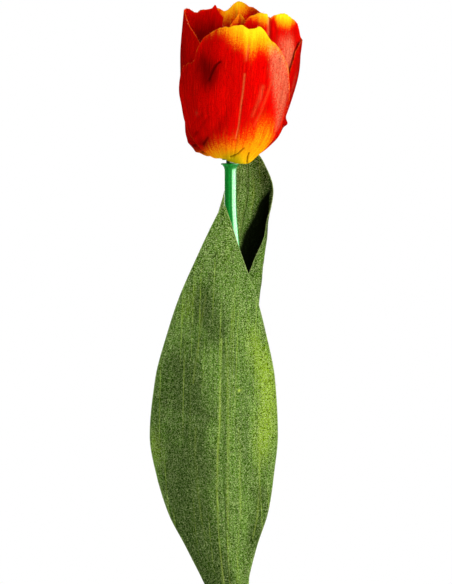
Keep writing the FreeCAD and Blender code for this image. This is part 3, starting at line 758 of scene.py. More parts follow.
# %% The leaves' shapes and prints
FOOT_R = 4.8 * MM
LEAF_WRAP_DEG = 80
FOLD_LENGTH = 5 * MM
ARC_STEPS = 60
NONE = ((0, 0), (1, 0))
NOWHERE = ((0, 99), (1, 99))
LEAVES = {
    "front": {
        "side": -1, "length": 176.8 * MM, "half": 26.6 * MM, "bow": -8.2 * MM, "reach": 17.6 * MM,
        "half_shares": (
            (0.083, 0.25), (0.149, 0.36), (0.229, 0.56), (0.308, 0.785), (0.39, 0.91), (0.483, 1.0),
            (0.61, 0.92), (0.715, 0.755), (0.79, 0.605), (0.90, 0.305), (1.0, 0.03),
        ),
        "bow_shares": (
            (0, 0), (0.07, 0), (0.149, 0.39), (0.31, 0.78), (0.48, 1.0), (0.715, 0.88), (0.90, 0.71),
            (1.0, 0.54),
        ),
        "reach_shares": ((0, 0), (0.07, 0), (0.27, 0.17), (0.48, 0.45), (0.71, 0.71), (1.0, 1.0)),
        "turn_deg": ((0.07, 66), (0.12, 50), (0.22, 36), (0.48, 28), (0.71, 26), (0.9, 20), (1.0, 10)),
        "extra_mm": NONE, "fold_deg": NONE, "fold_mm": NONE, "hollow": NOWHERE, "hollow_end": NOWHERE,
        # Glow spots are yellow-green print, partly painted light where the blade faces the lamp; shade
        # spots are painted shade over a little mottled print; the pressed lines are painted darker as
        # shade; bright lines are pale veins and one pale spot.
        "glow": (
            (0.86, 0.60, 0.20, 0.12, 0.8), (0.74, 0.47, 0.2, 0.08, 0.5), (0.66, 0.70, 0.2, 0.07, 0.4),
            (-0.9, 0.46, 0.12, 0.06, 0.6), (-0.7, 0.78, 0.25, 0.06, 0.5), (0.1, 0.9, 0.5, 0.06, 0.2),
        ),
        "shade": (
            (-0.75, 0.60, 0.35, 0.10, 0.7), (-0.5, 0.8, 0.4, 0.04, 0.4), (-0.3, 0.5, 0.25, 0.2, 0.5),
            (-0.6, 0.32, 0.3, 0.12, 0.8), (-0.4, 0.4, 0.55, 0.35, 0.45), (-0.55, 0.16, 0.6, 0.14, 1.1),
            (0.85, 0.26, 0.25, 0.14, 0.8), (0.1, 0.72, 0.3, 0.06, 0.35), (-0.15, 0.76, 0.25, 0.05, 0.4),
            (0.1, 0.1, 0.6, 0.08, 0.6),
        ),
        "lines": (
            (((0.1, 0.1), (0.155, 0.5), (0.13, 0.74)), 0.9), (((-0.36, 0.7), (-0.30, 0.84)), 0.4),
            (((0.5, 0.3), (0.46, 0.6)), 0.35), (((-0.62, 0.35), (-0.60, 0.62)), 0.3),
        ),
        "bright": (
            (((0.39, 0.5842), (0.42, 0.5858)), 3.0), (((-0.12, 0.1), (0.083, 0.5), (0.1, 0.7)), 0.5),
            (((0.14, 0.1), (0.223, 0.5), (0.2, 0.7)), 0.4), (((0.45, 0.15), (0.383, 0.5)), 0.35),
            (((0.8, 0.25), (0.684, 0.5)), 0.35), (((-0.35, 0.6), (-0.3, 0.8)), 0.3),
            (((-0.36, 0.25), (-0.27, 0.5)), 0.2),
        ),
    },
    "back": {
        "side": 1, "length": 204.2 * MM, "half": 19 * MM, "bow": 5.5 * MM, "reach": 19.7 * MM,
        "half_shares": (
            (0.07, 0.33), (0.13, 0.38), (0.2, 0.55), (0.3, 0.8), (0.46, 0.97), (0.61, 0.9), (0.756, 0.76),
            (0.854, 0.62), (0.903, 0.53), (0.952, 0.34), (1.0, 0.04),
        ),
        "bow_shares": (
            (0, 0), (0.065, 0), (0.27, -0.55), (0.46, -0.55), (0.66, -0.2), (0.756, 0.1), (0.854, 0.72),
            (0.903, 0.98), (0.952, 0.95), (1.0, 0.62),
        ),
        "reach_shares": ((0, 0), (0.065, 0), (0.26, 0.18), (0.5, 0.43), (0.76, 0.72), (1.0, 1.0)),
        "turn_deg": (
            (0.065, 66), (0.12, 52), (0.46, 36), (0.66, 46), (0.76, 54), (0.86, 48), (0.92, 38), (1.0, 20),
        ),
        "extra_mm": (
            (0, 0), (0.6, 0), (0.66, 3.2), (0.7, 4.2), (0.76, 3.3), (0.82, 1.6), (0.87, 1.0),
            (0.91, 1.2), (0.95, 0.4), (1, 0),
        ),
        "fold_deg": (
            (0, 0), (0.46, 0), (0.56, 90), (0.66, 125), (0.78, 128), (0.83, 110), (0.87, 20), (0.9, 0),
            (1, 0),
        ),
        "fold_mm": ((0, 10), (0.56, 11), (0.66, 9), (0.73, 10.3), (0.80, 11), (0.84, 10), (1, 8)),
        # Glow and bright here are print with a painted highlight along the fold, shade spots are painted
        # shade, and the pressed lines are painted darker as shade.
        "glow": ((-0.5, 0.5, 0.4, 0.2, 0.4), (0.24, 0.89, 0.12, 0.04, 0.4)),
        "shade": ((0.8, 0.9, 0.35, 0.04, 1.0), (-0.6, 0.86, 0.4, 0.09, 0.45), (-0.1, 0.82, 0.4, 0.05, 0.4),
                  (0.9, 0.84, 0.3, 0.05, 1.0), (0.0, 0.98, 0.6, 0.04, 0.5), (-0.2, 0.91, 0.22, 0.06, 0.2),
                  (0.65, 0.95, 0.25, 0.05, 0.5)),
        "lines": ((((0.0, 0.05), (0.0, 0.8), (0.1, 0.97)), 0.8), (((0.4, 0.6), (0.3, 0.93)), 0.5)),
        "bright": ((((-0.1, 0.7), (0.02, 0.95)), 0.4), (((0.2, 0.1), (0.2, 0.6)), 0.3),
                   (((0.24, 0.86), (0.25, 0.93)), 0.3)),
        # Painted shadow: the inside of the back leaf's fold is painted nearly black, from these X places in
        # mm, by share up, to those of the next table.
        "hollow": (
            (0, 99), (0.6, 20), (0.65, 0), (0.77, 0), (0.796, 1.3), (0.81, 2.0), (0.824, 3.5), (0.838, 5.3),
            (0.852, 6.7), (0.872, 8.1), (0.881, 9.5), (0.891, 11.4), (0.903, 13.6), (0.917, 16.5), (1, 30),
        ),
        "hollow_end": ((0, 99), (0.83, 99), (0.852, 15), (0.88, 15), (0.905, 15.6), (1, 16)),
    },
}
FOOT_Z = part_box("leaf_front_blade")[0].z
print("the leaves stand on the sleeve at", round(FOOT_Z / MM, 1), "mm")

# %% [markdown]
# ## Weaving the leaves
# A tulip leaf has parallel veins that run from foot to tip and draw together as the blade narrows, so the
# ridges follow the share of the width, not millimetres. The free edges ripple gently, as cloth with a
# heat-cut edge does. The blade is raised along its own normals, as the petals are.

# %% Weaving the leaves
VEINS_A_SIDE = 13
VEIN_RELIEF = 0.07
VEIN_MARGIN = 2
MIDRIB_RELIEF = 0.5
FREE_FROM = 0.1
FREE_OVER = 0.15
LEAF_WAVE = 0.7
LEAF_WAVE_LEN = 22
LEAF_WAVE_REACH = 5
SWELL = (0.35, 12, 45)
LEAF_CUT_WIDE = 0.6
LINE_WIDTH = 0.9
BRIGHT_WIDTH = 0.35
PAINTED_SHADOW_SOFT = 3.0
PAINTED_SHADOW_EDGE = 1.2
LEAF_SEED = 200


def leaf_face(leaf, across, up):
    """Points of a leaf's face that looks at the stem, by shares of its width and of its length."""
    half_rows = ((0, FOOT_R * math.radians(LEAF_WRAP_DEG) / leaf["half"]),) + leaf["half_shares"]
    turn_rows = ((0, LEAF_WRAP_DEG),) + leaf["turn_deg"]
    width = leaf["half"] * follow(half_rows, up)
    turn = np.radians(follow(turn_rows, up))
    extra, fold_at = (follow(leaf[key], up) * MM for key in ("extra_mm", "fold_mm"))
    fold = np.radians(follow(leaf["fold_deg"], up))
    x, y = 0, 0
    for k in range(ARC_STEPS):
        s = (k + 0.5) / ARC_STEPS * across
        right = np.maximum(s, 0)
        beyond = np.clip((width * s + extra * right ** 2 - fold_at) / FOLD_LENGTH, 0, 1)
        heading = turn * s + fold * beyond ** 2 * (3 - 2 * beyond)
        step = (width + 2 * extra * right) * across / ARC_STEPS
        x = x + np.cos(heading) * step
        y = y + np.sin(heading) * step
    sideways = leaf["bow"] * follow(leaf["bow_shares"], up) + x
    away = leaf["side"] * (FOOT_R + leaf["reach"] * follow(leaf["reach_shares"], up) - y)
    return np.stack(np.broadcast_arrays(sideways, away, FOOT_Z + leaf["length"] * up), -1), width


def leaf_spots(across, up, places):
    """Soft spots at (share across, share up, width, height, strength)."""
    total = 0
    for at, high, wide, tall, strength in places:
        total = total + strength * np.exp(-(((across - at) / wide) ** 2) - ((up - high) / tall) ** 2)
    return total


def leaf_lines(leaf, kind, across, up, line_width):
    """The pressed or the bright lines that run up a leaf."""
    half, length = leaf["half"] / MM, leaf["length"] / MM
    total = 0
    for points, strength in leaf[kind]:
        line = [(at * half, high * length) for at, high in points]
        total = total + strength * near_line(across * half, up * length, line, line_width)
    return total


def weave_leaf(name, leaf, seed):
    """One leaf's mesh, and its outer and inner grid."""
    columns, rows = round(2 * leaf["half"] / LEAF_CELL), round(leaf["length"] / LEAF_CELL)
    across = np.linspace(1, -1, columns + 1)[:, None] * leaf["side"]
    up = np.linspace(0, 1, rows + 1)[None, :]
    face, width = leaf_face(leaf, across, up)
    side_mm, up_mm = across * width / MM, up * leaf["length"] / MM
    beside = (1 - np.abs(across)) * width / MM
    free = np.clip((up - FREE_FROM) / FREE_OVER, 0, 1)
    veins = np.cos(2 * math.pi * VEINS_A_SIDE * across) * np.clip(beside / VEIN_MARGIN, 0, 1)
    midrib = leaf_lines(leaf, "lines", across, up, LINE_WIDTH)
    wave = LEAF_WAVE * np.exp(-beside / LEAF_WAVE_REACH) * cloud(up_mm / LEAF_WAVE_LEN, across > 0, seed)
    height, wide, tall = SWELL
    wave = wave + height * cloud(side_mm / wide, up_mm / tall, seed + 1)
    raised = free * (VEIN_RELIEF * veins + wave) - MIDRIB_RELIEF * free * midrib
    inner = face + outward(face) * (raised * MM)[..., None]
    outer = inner + outward(inner) * CLOTH_THICK
    mesh = closed_mesh(name, outer, inner)
    put_uv(mesh, np.stack([side_mm, np.broadcast_to(up_mm, side_mm.shape)], -1) * MM / UV_UNIT)
    # The painted shadow lies on the inner face only, between a start and an end X that change with the
    # share up.
    inside = outward(face)[..., 1] * leaf["side"] > 0
    x_mm = face[..., 0] / MM
    past_start = (x_mm - follow(leaf["hollow"], up)) / PAINTED_SHADOW_SOFT
    before_end = (follow(leaf["hollow_end"], up) - x_mm) / PAINTED_SHADOW_EDGE
    # Marks for the finish: glow is print and partly painted light, shade is painted shade, the pressed
    # lines carry painted shade, bright is pale veins and a painted fold highlight, and the last mark paints
    # the shadow inside the back leaf's fold.
    marks = {
        "glow": leaf_spots(across, up, leaf["glow"]), "shade": leaf_spots(across, up, leaf["shade"]),
        "vein": 0.5 + 0.5 * veins, "midrib": midrib, "cut": 1 - beside / LEAF_CUT_WIDE,
        "bright": leaf_lines(leaf, "bright", across, up, BRIGHT_WIDTH),
        "hollow": inside * np.minimum(past_start, before_end),
    }
    put_marks(mesh, side_mm.shape, marks, ["hollow"])
    return mesh, outer, inner


leaves = {}
for number, (kind, leaf) in enumerate(LEAVES.items()):
    node = f"leaf_{kind}_blade"
    mesh, outer, inner = weave_leaf(node, leaf, LEAF_SEED + SEEDS_APART * number)
    leaves[kind] = place_piece(node + "_cloth", mesh, "leaf_" + kind, "leaf_cloth", node)
    cut_edges["leaf_" + kind].append((outer + inner) / 2)

# %% [markdown]
# ## Leaf finish
# Leaf cloth is coarser than petal cloth, and its print is spotted into the weave, so from close by it is a
# mix of dark and pale green dots. Long streaks run with the veins. The same marks as before say where the
# blade is bright or dark, and much of that is painted light: glow is yellow-green print and partly painted
# light, shade is painted shade, the pressed lines and the inside of the back leaf's fold are painted dark
# as shade and shadow, and bright lines are pale veins with a painted highlight along that fold. The vein
# mark lightens the ridges.

# %% Leaf finish
def leaf_finish():
    material, tree, shader, place = new_finish("leaf_print", {
        "Roughness": 0.6, "Specular IOR Level": 0.0, "Sheen Weight": 0.006, "Sheen Roughness": 0.5,
        "Sheen Tint": ink("E8F0C0"),
    }, uv_map="cloth")
    streaks = speckle(tree, stretched(tree, place, (90, 3, 1)), 1.0, 4.0, 0.6)
    lines = speckle(tree, stretched(tree, place, (150, 1.2, 1)), 1.0, 1.0)
    dots = cells(tree, place, 510)
    patches = speckle(tree, stretched(tree, place, (9, 5, 1)), 1.0, 5.0, 0.62)
    # Glow: yellow-green print, partly painted light on the lit side and along the back leaf's fold.
    glow = stirred(tree, stirred(tree, mark(tree, "glow"), streaks, 0.5), patches, 0.6)
    # Shade: painted shade, over a little mottled print.
    dark = steps(tree, stirred(tree, mark(tree, "shade"), patches, 2.4), 0.0, 1.0)
    paleness = maths(tree, "MULTIPLY_ADD", dark, -0.32, 0.76)
    colour = blend(tree, steps(tree, streaks, 0.3, 0.7), ink("3A6412"), ink("56861E"))
    colour = inked(tree, colour, (
        (times(tree, mark(tree, "vein"), 0.12), "84A546"), (steps(tree, glow, 0.1, 1.0, 0.75), "96BC10"),
        (times(tree, dark, 0.85), "223C08"),
        (times(tree, steps(tree, dots, 0.5, 1.0), paleness), "C8D894"),
        # The pressed lines are painted darker: painted shade in their grooves.
        (steps(tree, dots, 0.56, 0.16), "0C1802"), (times(tree, mark(tree, "midrib"), 0.4), "2A4014"),
        (steps(tree, lines, 0.65, 0.72, 0.35), "A0C040"),
        # Bright: pale veins, and on the back leaf a painted highlight along its fold.
        (times(tree, mark(tree, "bright"), steps(tree, streaks, 0.3, 0.6), 0.8), "B4CC50"),
        (steps(tree, mark(tree, "cut"), 0.4, 1.0, 0.3), "B9CB86"),
        # painted shadow: the inside of the back leaf's fold, nearly black
        (steps(tree, mark(tree, "hollow"), 0.1, 0.9, 0.98), "020401"),
    ))
    end_finish(tree, shader, colour, maths(tree, "MULTIPLY_ADD", dots, 0.5, weave(tree, place)), 0.05 * MM)
    return material


leaf_print = leaf_finish()
for piece in leaves.values():
    piece.data.materials.append(leaf_print)
print("the leaves are printed with", len(leaf_print.node_tree.nodes), "nodes")

# %% [markdown]
# ## Trees that make geometry
# A Geometry Nodes tree is a recipe: it takes a mesh and some named sizes, and gives back a new mesh. It
# suits what is swept along a path, turned round an axis or repeated. The recipe is run once here. Its
# modifier's inputs are set by their identifiers, the result is kept as a plain mesh, and the modifier goes
# away with its carrier, so that nothing is left to evaluate later.

# %% Trees that make geometry
SOCKETS = {float: "NodeSocketFloat", int: "NodeSocketInt", tuple: "NodeSocketVector"}


def new_recipe(name, sizes):
    """An empty tree with a mesh going in and out, and the sockets of its named sizes."""
    tree = bpy.data.node_groups.new(name, "GeometryNodeTree")
    tree.interface.new_socket("Geometry", in_out="INPUT", socket_type="NodeSocketGeometry")
    for label, value in sizes.items():
        socket = tree.interface.new_socket(label, in_out="INPUT", socket_type=SOCKETS[type(value)])
        socket.default_value = value
    tree.interface.new_socket("Geometry", in_out="OUTPUT", socket_type="NodeSocketGeometry")
    return tree, add(tree, "NodeGroupInput").outputs


def close_recipe(tree, geometry, material):
    """The recipe's end: whole, smooth, and with its material."""
    geometry = made(tree, "GeometryNodeRealizeInstances", {"Geometry": geometry})
    geometry = made(tree, "GeometryNodeSetShadeSmooth", {"Geometry": geometry})
    geometry = made(tree, "GeometryNodeSetMaterial", {"Geometry": geometry, "Material": material})
    add(tree, "NodeGroupOutput", {0: geometry})


def run_recipe(tree, mesh, sizes):
    """The plain mesh that a tree makes of a mesh."""
    carrier = stand("carrier", mesh)
    modifier = carrier.modifiers.new(tree.name, "NODES")
    modifier.node_group = tree
    for item in tree.interface.items_tree:
        if item.in_out == "INPUT" and item.name in sizes:
            modifier[item.identifier] = sizes[item.name]
    graph = bpy.context.evaluated_depsgraph_get()
    plain = bpy.data.meshes.new_from_object(carrier.evaluated_get(graph), depsgraph=graph)
    bpy.data.objects.remove(carrier)
    print(f"{tree.name} made {len(plain.polygons)} faces")
    return plain


def join_vector(tree, x, y, z):
    return made(tree, "ShaderNodeCombineXYZ", {0: x, 1: y, 2: z})


print("recipes end in a plain mesh")

# %% [markdown]
# ## Stem finish
# The stem is moulded in glossy polyethylene. It is green all through, so it needs no print, only a little
# light that goes under its skin, faint flow lines along its length and fine scuffs that dull the gloss in
# places.

# %% Stem finish
def stem_finish():
    material, tree, shader, place = new_finish("stem_gloss", {
        "Roughness": 0.36, "Specular IOR Level": 0.2,
        "Subsurface Weight": 0.04, "Subsurface Scale": 0.8 * MM, "Subsurface Radius": (0.4, 1.0, 0.5),
    })
    flow = speckle(tree, stretched(tree, place, (900, 900, 22)), 1.0, 3.0)
    scuffs = speckle(tree, place, 1400, 4.0, 0.7)
    clouds = speckle(tree, place, 60, 2.0)
    colour = blend(tree, steps(tree, flow, 0.3, 0.7), ink("00741A"), ink("02A236"))
    colour = blend(tree, steps(tree, clouds, 0.4, 0.7, 0.3), colour, ink("0C6A20"))
    dull = maths(tree, "MULTIPLY_ADD", steps(tree, scuffs, 0.5, 0.75), 0.2, 0.27)
    end_finish(tree, shader, colour, flow, 0.05 * MM, dull)
    return material


stem_gloss = stem_finish()
print("the stem's finish has", len(stem_gloss.node_tree.nodes), "nodes")

# %% [markdown]
# ## The stem
# The stem follows a rule, so a recipe makes it: the outline of its wall is turned about an axis, and then
# the whole tube is shifted sideways where it bends, and its rim is torn a little, as a thin flared rim
# tears when the flower's peg is pushed in. Spin or Screw modifiers turn an outline too, but can't bend and
# tear it in the same step.

# %% The stem's wall
STEM_R = 2.4 * MM
BORE_R = 1.75 * MM
BEND_START_Z = 243 * MM
BEND_LEN = 27.2 * MM
RIM_LEN = 2.6 * MM
RIM_R = 3.85 * MM
RIM_LIP = 0.4 * MM
GROOVE_Z = 60 * MM
GROOVE_DEPTH = 0.3 * MM
GROOVE_ROUND_R = 1.2 * MM
GROOVE_RINGS = 7
RING_STEP = 1.5 * MM
LONG_STEP = 10 * MM
FLARE = ((0, 1), (0.12, 0.75), (0.28, 0.5), (0.6, 0.22), (1, 0))
AROUND_STEM = 96
TORN_LEN = 1.1 * MM
TEAR = 0.9 * MM
TEAR_GRAIN = 620
TEAR_MIDDLE = 0.52
TEAR_SPREAD = 2.6
RIM_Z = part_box("stem_tube")[1].z
MIDDLE_R = (STEM_R + BORE_R) / 2


def stem_outline():
    """A mesh of edges along the wall: down the outside from the rim, and up the bore."""
    flare = [(STEM_R + out * (RIM_R - STEM_R), RIM_Z - down * RIM_LEN) for out, down in FLARE]
    above_round = GROOVE_ROUND_R - GROOVE_DEPTH
    half = math.sqrt(GROOVE_ROUND_R ** 2 - above_round ** 2)
    groove = []
    for away in np.linspace(-half, half, GROOVE_RINGS):
        dip = math.sqrt(max(GROOVE_ROUND_R ** 2 - away ** 2, 0)) - above_round
        groove.append((STEM_R - max(dip, 0), GROOVE_Z + half + away))
    low_rings = np.arange(0, GROOVE_Z, LONG_STEP)
    straight = np.arange(GROOVE_Z + LONG_STEP, BEND_START_Z, LONG_STEP)
    bend = np.arange(BEND_START_Z, RIM_Z - RIM_LEN - RING_STEP / 2, RING_STEP)
    outside = [(STEM_R, z) for z in low_rings] + groove + [(STEM_R, z) for z in (*straight, *bend)] + flare
    inside = [(BORE_R, 0)] + [(BORE_R, z) for z in bend]
    inside += [(r - (STEM_R - BORE_R) if z < RIM_Z else RIM_R - RIM_LIP, z) for r, z in flare]
    points = [(r - MIDDLE_R, -z, 0) for r, z in outside[::-1] + inside]
    mesh = bpy.data.meshes.new("stem_outline")
    mesh.from_pydata(points, [(k, (k + 1) % len(points)) for k in range(len(points))], [])
    return mesh


def stem_recipe():
    tree, sizes = new_recipe("turned and bent tube", {
        "Middle radius": MIDDLE_R, "Bend start": BEND_START_Z, "Bend length": BEND_LEN, "Shift": HEAD_X,
        "Rim height": RIM_Z, "Torn length": TORN_LEN, "Tear": TEAR, "Seed": 7.0,
    })
    profile = made(tree, "GeometryNodeMeshToCurve", {"Mesh": sizes["Geometry"]})
    inputs = {"Resolution": AROUND_STEM, "Radius": sizes["Middle radius"]}
    path = made(tree, "GeometryNodeCurvePrimitiveCircle", inputs)
    tube = made(tree, "GeometryNodeCurveToMesh", {"Curve": path, "Profile Curve": profile})
    here = made(tree, "GeometryNodeInputPosition")
    x, y, z = add(tree, "ShaderNodeSeparateXYZ", {0: here}).outputs
    share = maths(tree, "DIVIDE", maths(tree, "SUBTRACT", z, sizes["Bend start"]), sizes["Bend length"])
    shift = times(tree, steps(tree, share, 0.0, 1.0), sizes["Shift"])
    under = maths(tree, "DIVIDE", maths(tree, "SUBTRACT", sizes["Rim height"], z), sizes["Torn length"])
    torn = maths(tree, "SUBTRACT", 1.0, steps(tree, under, 0.0, 1.0))
    spin = made(tree, "ShaderNodeTexNoise", {
        "Vector": stretched(tree, join_vector(tree, x, y, 0.0), (TEAR_GRAIN, TEAR_GRAIN, 1)),
        "W": sizes["Seed"], "Scale": 1.0, "Detail": 3.0, "Roughness": 0.65,
    }, noise_dimensions="4D")
    ragged = maths(tree, "SUBTRACT", spin, TEAR_MIDDLE)
    lift = times(tree, ragged, times(tree, torn, TEAR_SPREAD), sizes["Tear"])
    inputs = {"Geometry": tube, "Offset": join_vector(tree, shift, 0.0, lift)}
    close_recipe(tree, made(tree, "GeometryNodeSetPosition", inputs), stem_gloss)
    return tree


tube_mesh = run_recipe(stem_recipe(), stem_outline(), {"Seed": 7.0})
place_piece("stem_tube_torn", tube_mesh, "stem", "stem_plastic", "stem_tube")
print("the stem's top stands", round(HEAD_X / MM, 2), "mm to the side")

# %% [markdown]
# ## Stamens, pistil and stigma
# Inside the cup, six stamens stand round a pistil. One recipe sets copies of a part in a ring, leaning
# outwards: it is run once with a filament and once with a pollen head. The pollen head is a grooved pod
# with a grainy skin, and the pistil is a soft three-sided column with three curled lobes, each made as a
# grid round its axis, closed with a point at either end.

# %% Round grids
def round_mesh(name, points):
    """A closed mesh from rings of points, (ring, point, xyz), with a pole at each end."""
    rings, count = points.shape[:2]
    index = np.arange(rings * count).reshape(rings, count)
    after = np.roll(index, -1, 1)
    sides = np.stack([index[:-1], after[:-1], after[1:], index[1:]], -1).reshape(-1, 4).tolist()
    low, high = rings * count, rings * count + 1
    caps = [(low, after[0, k], index[0, k]) for k in range(count)]
    caps += [(high, index[-1, k], after[-1, k]) for k in range(count)]
    poles = [points[0].mean(0), points[-1].mean(0)]
    mesh = bpy.data.meshes.new(name)
    mesh.from_pydata(np.concatenate([points.reshape(-1, 3), poles]).tolist(), [], sides + caps)
    mesh.shade_smooth()
    return mesh


def lobed(profile, count, lobes, depth_share, twist_deg=0):
    """Rings about the Z axis from (radius, height) pairs, with rounded lobes."""
    turn = np.linspace(0, 2 * math.pi, count, endpoint=False)
    r, z = (np.array(values)[:, None] for values in zip(*profile))
    phase = lobes * (turn + np.radians(twist_deg) * z / z.max())
    r = r * (1 + depth_share * np.cos(phase))
    return np.stack(np.broadcast_arrays(r * np.sin(turn), -r * np.cos(turn), z), -1)


def uneven(count, rings, wide, tall, depth, seed):
    """A factor for each point of some rings that makes their skin uneven."""
    along, across = np.indices((rings, count))
    return 1 + depth * cloud(across / wide, along / tall, seed)[..., None]


print("a ring with three lobes has", len(lobed([(1, 1)], 60, 3, 0.3)[0]), "points")

# %% Plastic finishes
def plastic_finish(name, low, high, roughness, scale, relief, coat=0.0):
    """Moulded plastic with clouded colour, uneven gloss and fine relief."""
    material, tree, shader, place = new_finish(name, {
        "Roughness": roughness, "Specular IOR Level": 0.45, "Coat Weight": coat, "Coat Roughness": 0.15,
    })
    clouds = speckle(tree, place, scale, 3.0)
    grain = speckle(tree, place, scale * 6, 3.0, 0.65)
    colour = blend(tree, steps(tree, clouds, 0.3, 0.7), ink(low), ink(high))
    dull = maths(tree, "MULTIPLY_ADD", grain, 0.2, roughness - 0.1)
    end_finish(tree, shader, colour, grain, relief, dull)
    return material


filament_soft = plastic_finish("filament_soft", "9A9A32", "C8C05A", 0.5, 900, 0.03 * MM)
pollen_dust = plastic_finish("pollen_dust", "17110F", "3A2A22", 0.85, 1500, 0.12 * MM)
pistil_soft = plastic_finish("pistil_soft", "7C9A34", "A8BC5C", 0.45, 500, 0.04 * MM, 0.1)
stigma_wax = plastic_finish("stigma_wax", "D2BC54", "F0E08C", 0.4, 900, 0.08 * MM, 0.3)
hub_green = plastic_finish("hub_green", "4E7A1E", "6E9A30", 0.5, 400, 0.04 * MM)
peg_green = plastic_finish("peg_green", "0C3E16", "185422", 0.5, 400, 0.03 * MM)
sleeve_green = plastic_finish("sleeve_green", "1E7434", "2E944A", 0.35, 300, 0.03 * MM, 0.3)
print("seven plastic finishes are mixed")

# %% Stamens
FILAMENT_R = 0.45 * MM
FILAMENT_LEN = 17 * MM
FILAMENT_SEAT = 1.6 * MM
FILAMENT_RING_R = 2.3 * MM
FILAMENT_LEAN_DEG = 14
FILAMENT_TAPER = 0.25
FILAMENT_RINGS = 40
FILAMENT_POINTS = 16
STAMEN_COUNT = 6
STAMEN_ROLL = 6.0
ANTHER_R = 1.3 * MM
ANTHER_LEN = 8 * MM
ANTHER_LOBES = 4
ANTHER_TWIST_DEG = 25
ANTHER_RINGS = 40
ANTHER_POINTS = 48
HUB_TOP_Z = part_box("receptacle")[1].z


def filament_mesh():
    """A stalk that is thickest at its foot and wavers a little."""
    up = np.linspace(-FILAMENT_SEAT, FILAMENT_LEN, FILAMENT_RINGS)
    slim = FILAMENT_R * (1 - FILAMENT_TAPER * np.clip(up / FILAMENT_LEN, 0, 1))
    return round_mesh("filament", lobed(list(zip(slim, up)), FILAMENT_POINTS, 4, 0.06, 90))


def anther_mesh():
    """A pod with four grooves, blunt at its foot and narrower at its tip."""
    share = np.linspace(0, 1, ANTHER_RINGS)
    r = ANTHER_R * (np.sin(math.pi * (0.1 + 0.88 * share ** 0.9)) ** 0.6) * (1 - 0.12 * share)
    outline = list(zip(r, FILAMENT_LEN + share * ANTHER_LEN))
    rings = lobed(outline, ANTHER_POINTS, ANTHER_LOBES, 0.14, ANTHER_TWIST_DEG)
    rings[..., :2] *= uneven(ANTHER_POINTS, ANTHER_RINGS, 1.5, 1.5, 0.035, 31)
    return round_mesh("anther", rings)


def stamen_recipe(material):
    tree, sizes = new_recipe("ring of leaning copies", {
        "Count": STAMEN_COUNT, "Ring radius": FILAMENT_RING_R, "Lean": math.radians(FILAMENT_LEAN_DEG),
        "Centre": (HEAD_X, 0.0, HUB_TOP_Z), "Roll": STAMEN_ROLL, "Seed": 3,
    })
    points = made(tree, "GeometryNodePoints", {"Count": sizes["Count"]})
    number = maths(tree, "ADD", made(tree, "GeometryNodeInputIndex"), 0.5)
    turn = times(tree, maths(tree, "DIVIDE", number, sizes["Count"]), 2 * math.pi)
    out_x, out_y = maths(tree, "SINE", turn), times(tree, maths(tree, "COSINE", turn), -1.0)
    inputs = {0: join_vector(tree, out_x, out_y, 0.0), "Scale": sizes["Ring radius"]}
    foot = made(tree, "ShaderNodeVectorMath", inputs, operation="SCALE")
    place = made(tree, "ShaderNodeVectorMath", {0: foot, 1: sizes["Centre"]})
    points = made(tree, "GeometryNodeSetPosition", {"Geometry": points, "Position": place})
    sideways = maths(tree, "SINE", sizes["Lean"])
    heading = join_vector(tree, times(tree, out_x, sideways), times(tree, out_y, sideways),
                          maths(tree, "COSINE", sizes["Lean"]))
    roll = add(tree, "FunctionNodeRandomValue", {2: 0.0, 3: sizes["Roll"], "Seed": sizes["Seed"]})
    spin = made(tree, "FunctionNodeAxisAngleToRotation", {"Axis": (0, 0, 1), "Angle": roll.outputs[1]})
    inputs = {"Rotation": spin, "Vector": heading}
    turned = made(tree, "FunctionNodeAlignRotationToVector", inputs, axis="Z")
    inputs = {"Points": points, "Instance": sizes["Geometry"], "Rotation": turned}
    close_recipe(tree, made(tree, "GeometryNodeInstanceOnPoints", inputs), material)
    return tree


for kind, look, finish, mesh in (
    ("filament", "round", filament_soft, filament_mesh()),
    ("anther", "grooved", pollen_dust, anther_mesh()),
):
    ring = run_recipe(stamen_recipe(finish), mesh, {"Roll": STAMEN_ROLL})
    nodes = [f"{kind}_{k}" for k in range(1, STAMEN_COUNT + 1)]
    place_piece(f"{kind}s_{look}", ring, "flower_head", kind + "_plastic", *nodes)

# %% Pistil and stigma
PISTIL_R = 1.6 * MM
PISTIL_LEN = 17 * MM
PISTIL_RINGS = 60
PISTIL_POINTS = 48
STIGMA_R = 2.1 * MM
STIGMA_THICK = 1.7 * MM
STIGMA_RINGS = 36
STIGMA_POINTS = 60
STIGMA_DIMPLE = 0.35
PISTIL_LOBES = 3


def pistil_mesh():
    """A three-sided column, fullest below its middle."""
    share = np.linspace(0, 1, PISTIL_RINGS)
    r = PISTIL_R * (0.76 + 0.2 * np.sin(math.pi * share ** 0.8))
    rings = lobed(list(zip(r, share * PISTIL_LEN)), PISTIL_POINTS, PISTIL_LOBES, 0.05)
    return round_mesh("pistil", rings + np.array([HEAD_X, 0, HUB_TOP_Z]))


def stigma_mesh():
    """Three rounded lobes that fold outwards, with a dimple in the middle."""
    share = np.linspace(0.02, 1, STIGMA_RINGS)
    r = STIGMA_R * 0.72 * np.sin(math.pi * share) ** 0.5
    z = STIGMA_THICK * (0.5 - 0.5 * np.cos(math.pi * share))
    rings = lobed(list(zip(np.maximum(r, 0.05 * MM), z)), STIGMA_POINTS, PISTIL_LOBES, 0.32)
    crown = np.exp(-(np.hypot(rings[..., 0], rings[..., 1]) / (0.5 * STIGMA_R)) ** 2)
    rings[..., 2] -= crown * (share[:, None] > 0.5) * STIGMA_DIMPLE * STIGMA_THICK
    return round_mesh("stigma", rings + np.array([HEAD_X, 0, HUB_TOP_Z + PISTIL_LEN]))


for name, mesh, finish in (("pistil", pistil_mesh(), pistil_soft), ("stigma", stigma_mesh(), stigma_wax)):
    mesh.materials.append(finish)
    place_piece(name + "_lobed", mesh, "flower_head", name + "_plastic", name)
    print(name, "has", len(mesh.polygons), "faces")

